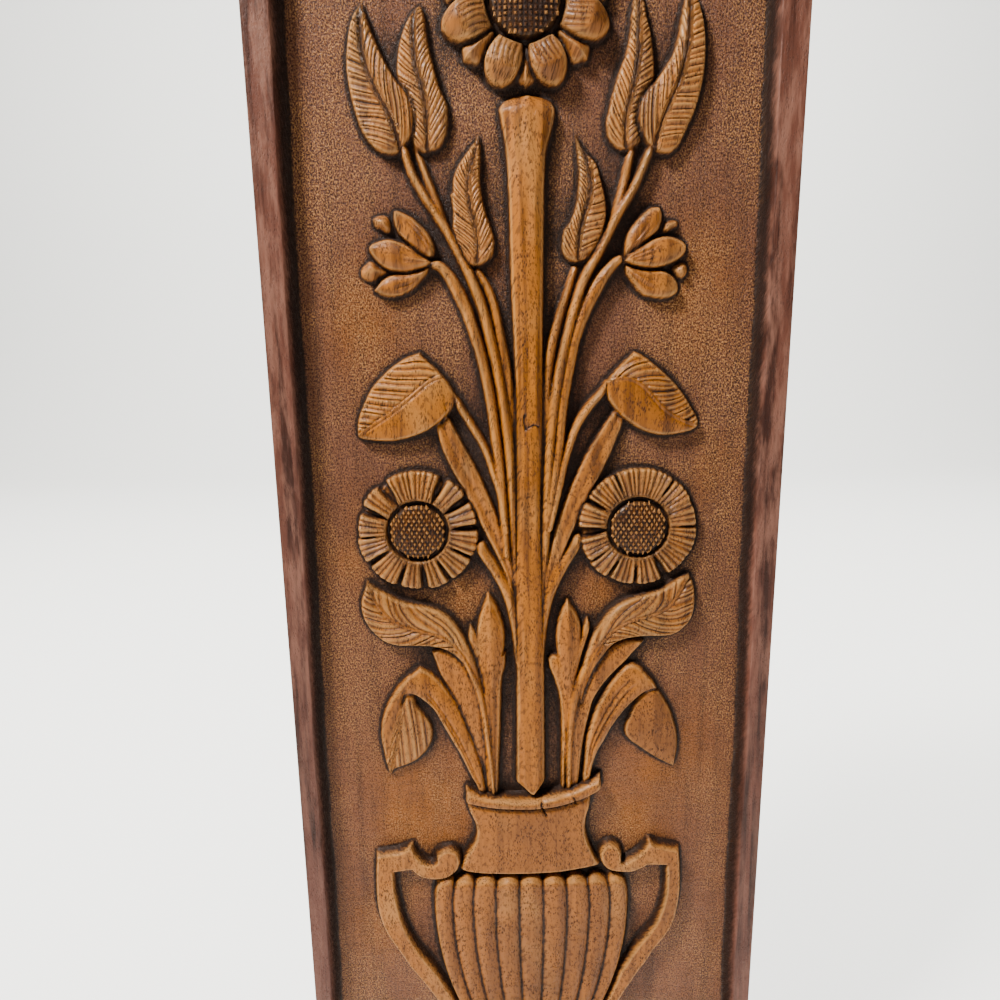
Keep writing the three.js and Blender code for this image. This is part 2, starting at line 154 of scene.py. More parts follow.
# millimetres inside a closed outline, negative outside it
def insideOf(x, z, outline):
    nearest = np.full(x.shape, 1e9)
    within = np.zeros(x.shape, bool)
    for (ax, az), (bx, bz) in zip(outline, np.roll(outline, -1, 0)):
        dx, dz = bx - ax, bz - az
        held = np.clip(((x - ax) * dx + (z - az) * dz) / max(dx * dx + dz * dz, 1e-9), 0, 1)
        nearest = np.minimum(nearest, (x - ax - held * dx) ** 2 + (z - az - held * dz) ** 2)
        if az != bz:
            within ^= ((az > z) != (bz > z)) & (x < ax + (z - az) * dx / dz)
    return np.where(within, 1, -1) * np.sqrt(nearest)


# lays one form on the face; inside is the distance in from its outline
def settle(part, top, inside, warm=0.7, wall=None, edge=None, cut=None, merge=False, lines=None):
    wall = surface["wall"] if wall is None else wall
    edge = surface["edge"] if edge is None else edge
    cut = surface["knifeCut"] if cut is None else cut
    under = height[part]
    laid = top * ease(-wall, edge, inside)
    knife = cut * np.exp(-((inside + wall) / 0.8) ** 2) * ease(0, 1, under)
    if merge:
        height[part] = np.maximum(under, laid)
    else:
        over = ease(-0.35, 0.35, inside)
        height[part] = laid * over + np.maximum(under - knife, laid) * (1 - over)
    on = ease(-wall, 0, inside)
    formMask[part] = np.maximum(formMask[part], on)
    warmth[part] = warmth[part] * (1 - on) + warm * on
    # the seam round a form laid over another is painted dark: stain, and painted shadow under its edge
    seam = np.exp(-((inside + 0.3) / 0.9) ** 2) * (inside < 0.4)
    stainAndShade[part] = stainAndShade[part] * (1 - on) + (0 if merge else 0.5) * seam
    counted, held = (0, 0) if lines is None else lines
    ribHold[part] = ribHold[part] * (1 - on) + held * on
    ribCount[part] = np.where(inside > -wall, counted, ribCount[part])


# adds a detail's cuts to a form's height; ribs also hand on their count and their strength
def detailed(top, made):
    return (top + made[0], made[1:]) if isinstance(made, tuple) else (top + made, None)


# a stem or blade about a line; left and right are half widths spread along it
def layForm(path, left, rise, right=None, drop=0.3, roundness=2.2, detail=None, **how):
    right = left if right is None else right
    line = bendPath(path)
    part, x, z = around(line, max(np.max(left), np.max(right)) + 3)
    share, off, length = alongLine(x, z, line)
    step = 0.01
    half = np.where(off > 0, spread(left, share), spread(right, share))
    further = np.minimum(share + step, 1)
    ahead = np.where(off > 0, spread(left, further), spread(right, further))
    lean = (ahead - half) / (step * length)
    half = np.maximum(half, 0.01)
    inside = (half - np.abs(off)) / np.sqrt(1 + lean ** 2)
    across = np.clip(np.abs(off) / half, 0, 1)
    top = spread(rise, share) * (1 - drop * across ** roundness)
    lines = None
    if detail is not None:
        top, lines = detailed(top, detail(share * length, off, half, length))
    settle(part, top, inside, lines=lines, **how)


# a leaf, petal or flat piece inside a drawn outline; the spine carries its rise and its veins
def layShape(outline, rise, spine=None, drop=0.3, roundness=2.2, hip=None, detail=None, **how):
    loop = outlineThrough(outline)
    part, x, z = around(loop, 3)
    inside = insideOf(x, z, loop)
    if spine is None:
        top = np.full(x.shape, float(np.max(rise)))
    else:
        share, off, length = alongLine(x, z, bendPath(spine))
        half = np.abs(off) + np.maximum(inside, 0.01)
        top = spread(rise, share) * (1 - drop * np.clip(np.abs(off) / half, 0, 1) ** roundness)
    if hip is not None:
        top = np.minimum(top, hip[0] + hip[1] * np.maximum(inside, 0))
    lines = None
    if detail is not None:
        top, lines = detailed(top, detail(share * length, off, half, length))
    settle(part, top, inside, lines=lines, **how)


# uneven hand-cut ribs; each side is (pitch, depth, slant) or None, left side first
def ribs(left, right, vein=0.6, veinWidth=0.95, start=0.0, seed=0.0):
    def cut(run, off, half, length):
        away = np.abs(off)
        total = -vein * np.exp(-(off / veinWidth) ** 2)
        counted, strength = np.zeros(off.shape), np.zeros(off.shape)
        for side, mark in ((off > 0, left), (off <= 0, right)):
            if mark is None:
                continue
            pitch, depth, slant = mark
            phase = (run - slant * away) / pitch
            phase = phase + 0.17 * np.sin(1.9 * phase + seed) + 0.1 * np.sin(4.3 * phase + 2 * seed)
            valley = 1 - np.abs(np.sin(np.pi * phase)) ** 0.95
            uneven = 0.8 + 0.3 * np.sin(2.6 * np.round(phase) + seed)
            fade = ease(start, start + 0.1, run / length)
            held = ease(0.02, 0.16, away / half) * (1 - 0.55 * ease(0.8, 1.0, away / half))
            total = total - np.where(side, depth * uneven * valley * held * fade, 0)
            counted = np.where(side, phase, counted)
            strength = np.where(side, uneven * held * fade, strength)
        onVein = vein * np.exp(-(off / veinWidth) ** 2) > 0.45
        return total, np.where(onVein, 0, counted), np.where(onVein, 0.9, strength)
    return cut


# a raised cord between two cuts along the spine
def cord(depth, apart, wide=0.45):
    return lambda run, off, half, length: -depth * (np.exp(-((off - apart) / wide) ** 2)
                                                    + np.exp(-((off + apart) / wide) ** 2))


# grooves that run along a form, at shares of its half width from right to left
def grooves(places, depth, wide=0.16, start=None, end=None):
    def cut(run, off, half, length):
        share = run / length
        fade = 1.0 if start is None else ease(start, start + 0.15, share)
        fade = fade if end is None else fade * (1 - ease(end - 0.2, end, share))
        return -depth * fade * sum(np.exp(-((off / half - place) / wide) ** 2) for place in places)
    return cut


# ribs together with another cut
def both(other, rib):
    def cut(*where):
        depth, counted, strength = rib(*where)
        return depth + other(*where), counted, strength
    return cut


# a dome or knob
def layDome(centre, radius, rise, edgeRise, **how):
    part, x, z = around([centre], radius + 3)
    away = np.hypot(x - centre[0], z - centre[1])
    share = np.clip(away / radius, 0, 1)
    top = edgeRise + (rise - edgeRise) * np.sqrt(np.clip(1 - share ** 2, 0, 1))
    settle(part, top, radius - away, **how)


# one straight cut or crack across whatever lies there
def nick(path, wide, depth):
    line = bendPath(path, 12)
    part, x, z = around(line, 2)
    off = alongLine(x, z, line)[1]
    mark = np.exp(-(off / wide) ** 2)
    height[part] = height[part] - depth * mark
    # the cut is also painted dark: stain, and painted shade in it
    stainAndShade[part] = np.maximum(stainAndShade[part], mark)


def carveStems():
    stem = dict(drop=0.35, roundness=2.0, merge=True)
    # the dark blades under the broad leaves
    layForm([(-35, 86), (-30.5, 73), (-23, 57.5), (-15, 39), (-8, 20), (-4, 2)],
            [2.6, 4.4, 4.2, 3.4, 2.2, 1.2], [3.0, 3.4, 3.8, 4.6, 5.2], drop=0.2, warm=0.5,
            detail=grooves([-0.05], 0.9, 0.3))
    layForm([(37, 86), (31.5, 75), (25, 62), (17, 44), (10.4, 25), (4.6, 2)],
            [2.4, 4.2, 4.2, 3.4, 2.4, 1.2], [3.0, 3.4, 3.8, 4.6, 5.2], drop=0.2, warm=0.45,
            detail=grooves([0.05], 0.9, 0.3))
    # side stems, from the outermost in
    layForm([(-19.2, 140), (-14.1, 130.8), (-10.1, 111.5), (-5.9, 85.9), (-3.5, 40), (-2.5, 0)],
            [1.2, 1.9, 2.2, 2.0, 1.6, 1.2], [2.2, 3.6, 4.2, 4.8, 5.6], warm=0.65, **stem)
    layForm([(18.2, 140), (13.4, 124.9), (8.7, 107.7), (6, 80), (3.6, 40), (2.6, 0)],
            [1.2, 1.9, 2.2, 2.0, 1.6, 1.2], [2.2, 3.6, 4.2, 4.8, 5.6], warm=0.65, **stem)
    layForm([(-41.1, 184), (-37.9, 175.5), (-34.7, 166.3), (-31, 157)], [0.9, 1.2, 1.5, 1.2],
            [2.4, 3.0, 3.6], warm=0.4, **stem)
    layForm([(39.4, 184), (37.2, 174), (35.3, 166), (32, 156)], [1.2, 1.5, 1.6, 1.2], [2.4, 3.0, 3.6],
            warm=0.5, **stem)
    layForm([(-35.9, 142.1), (-33.6, 141.7), (-30, 138), (-26.4, 131.7), (-23.1, 124.3), (-20.6, 116.8),
             (-18.1, 108.1), (-15.2, 94.3), (-13.2, 78.6), (-10.7, 54.1), (-9.1, 27.4)],
            [1.5, 2.3, 2.2, 2.1, 2.1, 2.0, 2.0, 1.9, 1.8, 1.6], [4.8, 4.7, 4.8, 5.0, 5.4, 5.8], warm=0.75,
            **stem)
    layForm([(35.3, 142.9), (33.8, 142.2), (29.7, 137.9), (25.3, 131), (22.3, 124.8), (18.5, 114.4),
             (16.3, 104.2), (13.6, 88.1), (12.1, 70.7), (7.7, 42.3)],
            [1.5, 2.5, 2.4, 2.2, 2.2, 2.1, 2.0, 2.0, 1.8, 1.6], [4.8, 4.7, 4.8, 5.0, 5.4, 5.8], warm=0.75,
            **stem)
    layForm([(-46.6, 187), (-41.5, 172.3), (-34.8, 161.6), (-28.8, 152.1), (-23.4, 141.5), (-18.2, 128.6),
             (-14.3, 113.7), (-9.8, 90.8), (-7, 66), (-5.5, 30), (-3, -8)],
            [1.4, 1.7, 1.9, 2.1, 2.3, 2.3, 2.2, 1.8], [4.2, 5.0, 5.4, 5.6, 5.8, 6.0], warm=0.85,
            detail=grooves([-0.75], 0.5, 0.25), **stem)
    layForm([(46.8, 184), (40.2, 169), (33.8, 158.6), (28.2, 147.7), (22.4, 137.3), (18.4, 126),
             (14, 108), (10.4, 88), (7.8, 60), (6, 28), (3, -8)],
            [1.4, 1.7, 1.9, 2.1, 2.3, 2.3, 2.2, 1.8], [4.2, 5.0, 5.4, 5.6, 5.8, 6.0], warm=0.85,
            detail=grooves([0.75], 0.5, 0.25), **stem)
    # ridges in front of the dark blades, ending on the broad leaves
    layForm([(-29.7, 93.3), (-26.7, 87.9), (-22.9, 81.5), (-19.1, 75.1), (-16.1, 68.7), (-13.8, 61.4),
             (-11.5, 54.1), (-8.9, 37.5)], [1.2, 1.5, 1.5, 1.6, 1.5, 1.2], [4.6, 4.8, 5.0, 5.4, 5.8],
            warm=0.8, **stem)
    layForm([(31.5, 96.7), (29.6, 93.6), (25.8, 89.4), (21.9, 84.4), (18.8, 78.9), (16.5, 72.6),
             (14.1, 64.2), (12.1, 54.5), (8.5, 38)], [1.5, 1.6, 1.6, 1.6, 1.5, 1.2],
            [4.6, 4.8, 5.0, 5.4, 5.8], warm=0.8, **stem)
    # stems of the daisies
    layForm([(-19.9, 30.8), (-18.2, 27.6), (-13.4, 20.2), (-8.3, 9.4), (-5.2, -4.0), (-4, -20)],
            [2.2, 2.3, 2.4, 2.5, 2.4, 2], [5.0, 5.2, 5.6, 6], warm=0.9, **stem)
    layForm([(20.0, 33.2), (18.4, 29.8), (13.7, 22), (8.6, 11.3), (5.2, -1.9), (4, -20)],
            [2.2, 2.3, 2.4, 2.5, 2.4, 2], [5.0, 5.2, 5.6, 6], warm=0.9, **stem)


def carveMiddleStem():
    def facets(run, off, half, length):
        side = np.abs(off) / half
        flare = 1 - ease(10, 30, run)
        bevel = -1.7 * ease(0.42, 1.0, side) - 0.5 * flare * np.exp(-((side - 0.5) / 0.12) ** 2)
        waver = 0.25 * np.sin(run / 9.0) * np.cos(off * 1.3)
        return bevel + waver - 1.9 * (1 - ease(0.4, 4.4 + 1.4 * side ** 2, run))
    outline = [(-9.9, 196.1), (-8.4, 198.4), (-5.5, 200), (-1.9, 200.7), (2.4, 200.7), (6.3, 199.8),
               (8.9, 198.5), (10.5, 196.1), (10.5, 196.1), (10.3, 192.8), (8.9, 187.5), (7.4, 182.1),
               (6.6, 170.9), (6.2, 149.9), (5.8, 113.5), (5.7, 82.8), (5, 50.9), (5.3, 17.4),
               (5.9, -17.6), (6.2, -45), (6.2, -71), (6.2, -75.3), (6.2, -75.3), (4.4, -78.2),
               (1.4, -82.3), (1.4, -82.3), (-2.1, -79.1), (-6, -75.6), (-6, -75.6), (-5.8, -54.2),
               (-5.4, -17.5), (-5.6, 9), (-5.3, 34.5), (-4.9, 63.2), (-4.8, 90.8), (-5.2, 109.9),
               (-6.1, 132.1), (-6.6, 164.1), (-7.5, 181.3), (-8.5, 188.7), (-9.4, 193.4)]
    layShape(outline + outline[:1], [5.6, 6.0, 6.3, 6.5, 6.6, 6.6, 6.8],
             [(0.4, 200.4), (0.6, 182), (0.1, 160), (0.2, 120), (0.6, 60), (0.0, -16), (0.4, -79)],
             drop=0.05, roundness=3, detail=facets, warm=0.85)
    # a chip and a slit on its left side
    nick([(-1.3, 84.9), (-1.7, 82.2), (-1, 79)], 0.5, 0.9)
    nick([(-0.2, 79.8), (2.2, 80.9), (4.1, 80.1)], 0.35, 0.7)


def carveLeaves():
    # the hindmost leaf of each pair comes first
    layShape([(-38.6, 181.8), (-40.8, 183.5), (-42.1, 186.3), (-43.4, 190.3), (-45.4, 195.7),
              (-46.6, 201.1), (-46.7, 206.3), (-46.5, 212.2), (-45.6, 217.4), (-43.9, 222.5),
              (-41.6, 226.9), (-39.4, 229.8), (-37.9, 230.7), (-37.9, 230.7), (-36.6, 228.8),
              (-35.9, 223.7), (-35.2, 218.5), (-33.6, 211.4), (-31.4, 203.5), (-29, 198.2),
              (-28.7, 192.8), (-29.7, 187.4), (-32.4, 183.4), (-35.3, 182.3), (-38.6, 181.8),
              (-38.6, 181.8)], [3.4, 4.3, 4.4, 4.0, 3.2],
             [(-36.4, 182.1), (-36.2, 189.6), (-36.6, 197.6), (-37.8, 204.2), (-39.7, 211.5),
              (-40.2, 216.7), (-40.4, 221.8), (-39.8, 227.6), (-39, 230.7)], drop=0.34, warm=0.25,
             detail=ribs((2.0, 0.75, 1.1), (2.3, 0.6, 1.4), vein=1.2, seed=1.3))
    layShape([(-47.3, 181.7), (-49.5, 181.2), (-52.4, 181.6), (-56.4, 183.9), (-60.1, 189),
              (-62.7, 197.1), (-64, 203.7), (-64.7, 210.9), (-64.1, 217.4), (-63.1, 223.1),
              (-61.6, 227.5), (-58.9, 231.6), (-58.9, 231.6), (-57.3, 228.1), (-55.8, 223.6),
              (-53.7, 218.5), (-51, 212.7), (-47.5, 206.7), (-43.9, 202.1), (-41.6, 197.4),
              (-41.2, 192.1), (-42.3, 187.8), (-44.3, 185.1), (-45.8, 183.1), (-47.3, 181.7),
              (-47.3, 181.7)], [4.6, 5.2, 5.4, 5.0, 4.0],
             [(-46.2, 182.1), (-47.4, 187.5), (-48.7, 191.5), (-50.7, 196.2), (-53.7, 201.6),
              (-56.3, 207.5), (-58.1, 213.4), (-58.9, 219.2), (-58.9, 231.6)], drop=0.26, warm=0.4,
             detail=ribs((2.0, 0.85, 0.75), (4.2, 0.35, 2.6), vein=1.5, seed=0.4))
    layShape([(-21.6, 141.5), (-24.2, 144.8), (-25.2, 147.7), (-26.6, 150.6), (-27.8, 155.6),
              (-27.5, 160.5), (-27.9, 164.7), (-28.4, 167.1), (-28.4, 167.1), (-27.5, 167.8),
              (-27.2, 172.3), (-25.6, 176.4), (-23.3, 179.8), (-20.7, 183.2), (-18.8, 185.6),
              (-17.6, 187.6), (-17.6, 187.6), (-17.1, 184.5), (-17.2, 178.4), (-17.4, 171.5),
              (-16.6, 165.2), (-15.2, 159.6), (-13.1, 153.9), (-12.4, 148.9), (-13.6, 144.6),
              (-16.7, 142.2), (-19.7, 141.3), (-21.6, 141.5), (-21.6, 141.5)], [4.0, 4.6, 4.7, 4.2, 3.2],
             [(-18.9, 142.6), (-18.6, 149.7), (-19.4, 155.4), (-20.8, 161.1), (-21.7, 168.1),
              (-21.2, 175), (-18.9, 181.1), (-17.6, 187.2)], drop=0.3, warm=0.35,
             detail=ribs((1.75, 0.8, 1.2), (2.2, 0.7, 1.4), vein=1.0, seed=2.2))
    layShape([(36.8, 181.8), (33.9, 182.2), (31.3, 184.2), (29.8, 188), (29.5, 191.4), (30.4, 195.4),
              (31.4, 200), (32.7, 204.6), (34.8, 210.5), (36.5, 215), (37.4, 220.8), (38, 226.5),
              (38.6, 231), (40.6, 235.3), (40.6, 235.3), (42.5, 230.9), (43.3, 226.5), (44.7, 222),
              (45.5, 217.5), (46.2, 212.9), (46.6, 205.7), (46.6, 197.8), (45, 191.8), (43.3, 186.5),
              (40.8, 183.4), (36.8, 181.8), (36.8, 181.8)], [3.2, 4.1, 4.2, 3.9, 3.0],
             [(36.8, 182.1), (36.3, 188.6), (36.7, 193.9), (37.9, 199.3), (39.2, 204.5), (40.2, 209.8),
              (40.8, 214.9), (40.6, 220.1), (40.6, 234.7)], drop=0.34, warm=0.25,
             detail=ribs((2.4, 0.5, 1.4), (2.0, 0.75, 0.9), vein=1.1, seed=0.9))
    layShape([(47.7, 181.1), (45, 183.2), (43.1, 186.3), (41.2, 190.7), (40.9, 194.3), (42.1, 198.3),
              (44.5, 201.9), (46.8, 204.2), (49.7, 208.1), (52.5, 212.6), (54.4, 217.7), (55.3, 222.8),
              (56.2, 228.5), (58.4, 235.4), (58.4, 235.4), (61.3, 231.6), (63.3, 225.9), (64.4, 220.1),
              (64.8, 215.6), (64.7, 210.5), (64.2, 205.3), (63.3, 200.7), (62, 196), (60.2, 191.4),
              (57.7, 186.1), (55.7, 182.4), (52.8, 180.5), (49.9, 180.5), (47.7, 181.1), (47.7, 181.1)],
             [4.6, 5.2, 5.4, 5.0, 4.0],
             [(47.3, 181.1), (47.9, 184.8), (49.6, 190.9), (52.9, 198.8), (55.3, 204.1), (56.8, 209.9),
              (58, 215.7), (58.5, 221.5), (58.4, 235.1)], drop=0.26, warm=0.45,
             detail=ribs((4.5, 0.2, 2.6), (2.05, 0.85, 0.5), vein=1.3, seed=1.9))
    layShape([(18.4, 142.2), (15.4, 143.2), (13.5, 145.7), (13.3, 149.3), (14, 153.6), (16, 156.4),
              (17.9, 160.6), (19, 166.1), (19.4, 172.4), (19.1, 177.9), (18.7, 183.4), (18.4, 187.1),
              (18.4, 187.1), (20.3, 183.7), (22.1, 180.9), (24, 179.2), (26.2, 176.4), (27.4, 172.3),
              (28.6, 168.1), (29.6, 163.2), (29.8, 159), (29.1, 154.8), (27.7, 150.5), (25.5, 146.6),
              (22.5, 143.4), (18.4, 142.2), (18.4, 142.2)], [4.0, 4.6, 4.7, 4.2, 3.2],
             [(19.4, 142.7), (19.5, 148.5), (20.2, 154.2), (21.6, 159.1), (23.4, 165.4), (23.7, 172.3),
              (22.5, 177.8), (18.8, 186.7)], drop=0.3, warm=0.35,
             detail=ribs((2.1, 0.6, 1.5), (2.2, 0.75, 0.6), vein=1.2, seed=3.1))
    # broad leaves
    layShape([(-28.5, 91.8), (-29.6, 94.9), (-31.9, 98.4), (-35.6, 102.7), (-39.3, 106.2), (-42.1, 109.1),
              (-42.1, 109.1), (-47.8, 107.1), (-52.6, 104.1), (-57.4, 100), (-61.5, 95.4), (-64.5, 90),
              (-66.5, 85.4), (-67.6, 80.7), (-67.6, 76.7), (-67.6, 76.7), (-65.6, 75.9), (-60.9, 75.3),
              (-54.6, 75), (-49.1, 75.9), (-43.5, 77.6), (-38.7, 79.9), (-33.9, 83.3), (-30.6, 86.8),
              (-29, 89.5), (-28.5, 91.8), (-28.5, 91.8)], [4.8, 5.4, 5.6, 5.3, 4.4],
             [(-29.5, 99.5), (-31.8, 100.3), (-34.9, 100), (-38.8, 98.3), (-42.8, 95.1), (-46.9, 91.7),
              (-50.9, 88.7), (-55.7, 85.2), (-62.2, 81), (-67.1, 77.5)], drop=0.24, warm=0.95,
             detail=both(cord(0.75, 0.8), ribs(None, (3.1, 0.95, 1.15), vein=0, seed=0.7)))
    layShape([(30.7, 93.3), (31, 97.1), (34.1, 101.3), (37.9, 105.1), (41.6, 108.4), (41.6, 108.4),
              (44, 107.4), (47.1, 105.3), (51.1, 102.1), (55.1, 98.7), (58.7, 94.8), (62.4, 90.1),
              (65.3, 85.4), (67.2, 81.9), (67.5, 79.5), (67.5, 79.5), (65.2, 77.7), (60.5, 76.6),
              (54.2, 75.8), (47.9, 77), (43.1, 79.1), (37.5, 83.1), (33.9, 87), (31.7, 90.2),
              (30.7, 93.3), (30.7, 93.3)], [4.8, 5.4, 5.6, 5.3, 4.4],
             [(30.3, 96.4), (32.6, 97.9), (35.7, 98.6), (39.6, 98.2), (43.1, 96.7), (46.7, 93.8),
              (50.7, 89.1), (55.5, 84.8), (60.3, 82.1), (67.1, 79.5)], drop=0.24, warm=0.9,
             detail=both(cord(0.55, 0.8), ribs((2.7, 0.9, 0.9), None, vein=0, seed=2.4)))


def carveCurledLeaves():
    # leaves first, then the long thin stems that run up into them from the urn
    layShape([(-22.1, -30.4), (-24.1, -26.8), (-26.1, -22.6), (-28.6, -19.4), (-31.9, -16),
              (-35.2, -13.9), (-39.3, -12.5), (-44.3, -12), (-49.3, -11.8), (-54.4, -11.7),
              (-58.9, -10.7), (-62.6, -8.6), (-65.8, -5.4), (-68.1, -1.9), (-69.7, 2.5), (-69.9, 7.4),
              (-68.6, 12.1), (-67.2, 16.4), (-67.2, 16.4), (-65.6, 15.3), (-62.4, 12.9), (-58.4, 10.7),
              (-54.3, 8.4), (-49.4, 6.8), (-43.7, 5.6), (-40.4, 4.7), (-37.1, 3.2), (-33.9, 0.9),
              (-31.1, -2.4), (-28.3, -6.9), (-25.5, -12.3), (-23.5, -17.1), (-21.9, -22.3),
              (-20.7, -27.7), (-20.4, -32.3), (-22.1, -30.4), (-22.1, -30.4)],
             [4.9, 5.2, 5.6, 5.6, 5.2, 4.6],
             [(-21.7, -32.3), (-23.7, -25.9), (-26.5, -19.5), (-28.9, -15.2), (-31.7, -11.8), (-35, -8.9),
              (-39.1, -6.6), (-44.1, -5.2), (-49.9, -3.7), (-53.9, -1.9), (-58.4, 1.2), (-61.9, 5.2),
              (-64.6, 9.5), (-66.8, 15.5)], drop=0.24, warm=0.62,
             detail=both(cord(0.8, 0.75),
                         ribs((3.3, 0.85, 1.2), (7.0, 0.18, 2.4), vein=0, start=0.22, seed=1.1)))
    layShape([(22.1, -38.5), (22.9, -35.3), (24.1, -31.2), (25.6, -27.1), (27.2, -23.5), (29.3, -19.9),
              (31.4, -16.8), (33.6, -13.9), (36.1, -11.7), (39.4, -10.2), (43.6, -9.4), (48.6, -8.9),
              (53.6, -9), (58.6, -8.7), (61.5, -7.9), (64.4, -5.7), (66.8, -3.1), (68.3, 0.4),
              (68.9, 4.8), (68.7, 10), (67.9, 14.3), (66.1, 17.8), (66.1, 17.8), (62.7, 16.6),
              (59.5, 14.5), (54.7, 11.5), (49.8, 9.9), (44.8, 8.6), (39.9, 6.8), (35.8, 4.4), (31.7, 0.1),
              (28.9, -4.1), (26.8, -7.8), (25.1, -12), (23.8, -16.2), (22.4, -22), (21.2, -27.5),
              (20.3, -32.9), (22.1, -38.5), (22.1, -38.5)], [4.9, 5.2, 5.6, 5.6, 5.2, 4.6],
             [(21.2, -36.6), (23.7, -27.5), (25.7, -20.3), (28.2, -14.3), (31.1, -10.1), (34.3, -6.4),
              (38.5, -3.3), (43.4, -1.1), (49.2, 0.3), (54.1, 2.1), (58.2, 4.8), (61.3, 9.2), (66, 17.4)],
             drop=0.24, warm=0.5,
             detail=both(cord(0.7, 0.75),
                         ribs((7.0, 0.18, 2.4), (3.0, 0.6, 1.2), vein=0, start=0.3, seed=2.8)))
    stem = dict(drop=0.3, warm=0.85, merge=True)
    layForm([(-16.1, -83.7), (-17.2, -66.2), (-18.3, -56.7), (-19.4, -45.4), (-20.9, -36.1),
             (-22.9, -28.7), (-25.7, -21.8), (-29.7, -15)], [0.9, 1.2, 1.4, 1.6, 1.8, 0.9],
            [4.8, 5.2, 5.4, 5.6, 5.6, 4.6], **stem)
    layForm([(16.8, -82.3), (16.9, -64.9), (17.1, -55.4), (17.7, -46), (19.1, -36.7), (21.2, -29.4),
             (24.9, -20.8), (29.9, -13.7)], [1.0, 1.5, 1.7, 1.9, 2.0, 1.0],
            [4.8, 5.2, 5.4, 5.6, 5.6, 4.6], **stem)


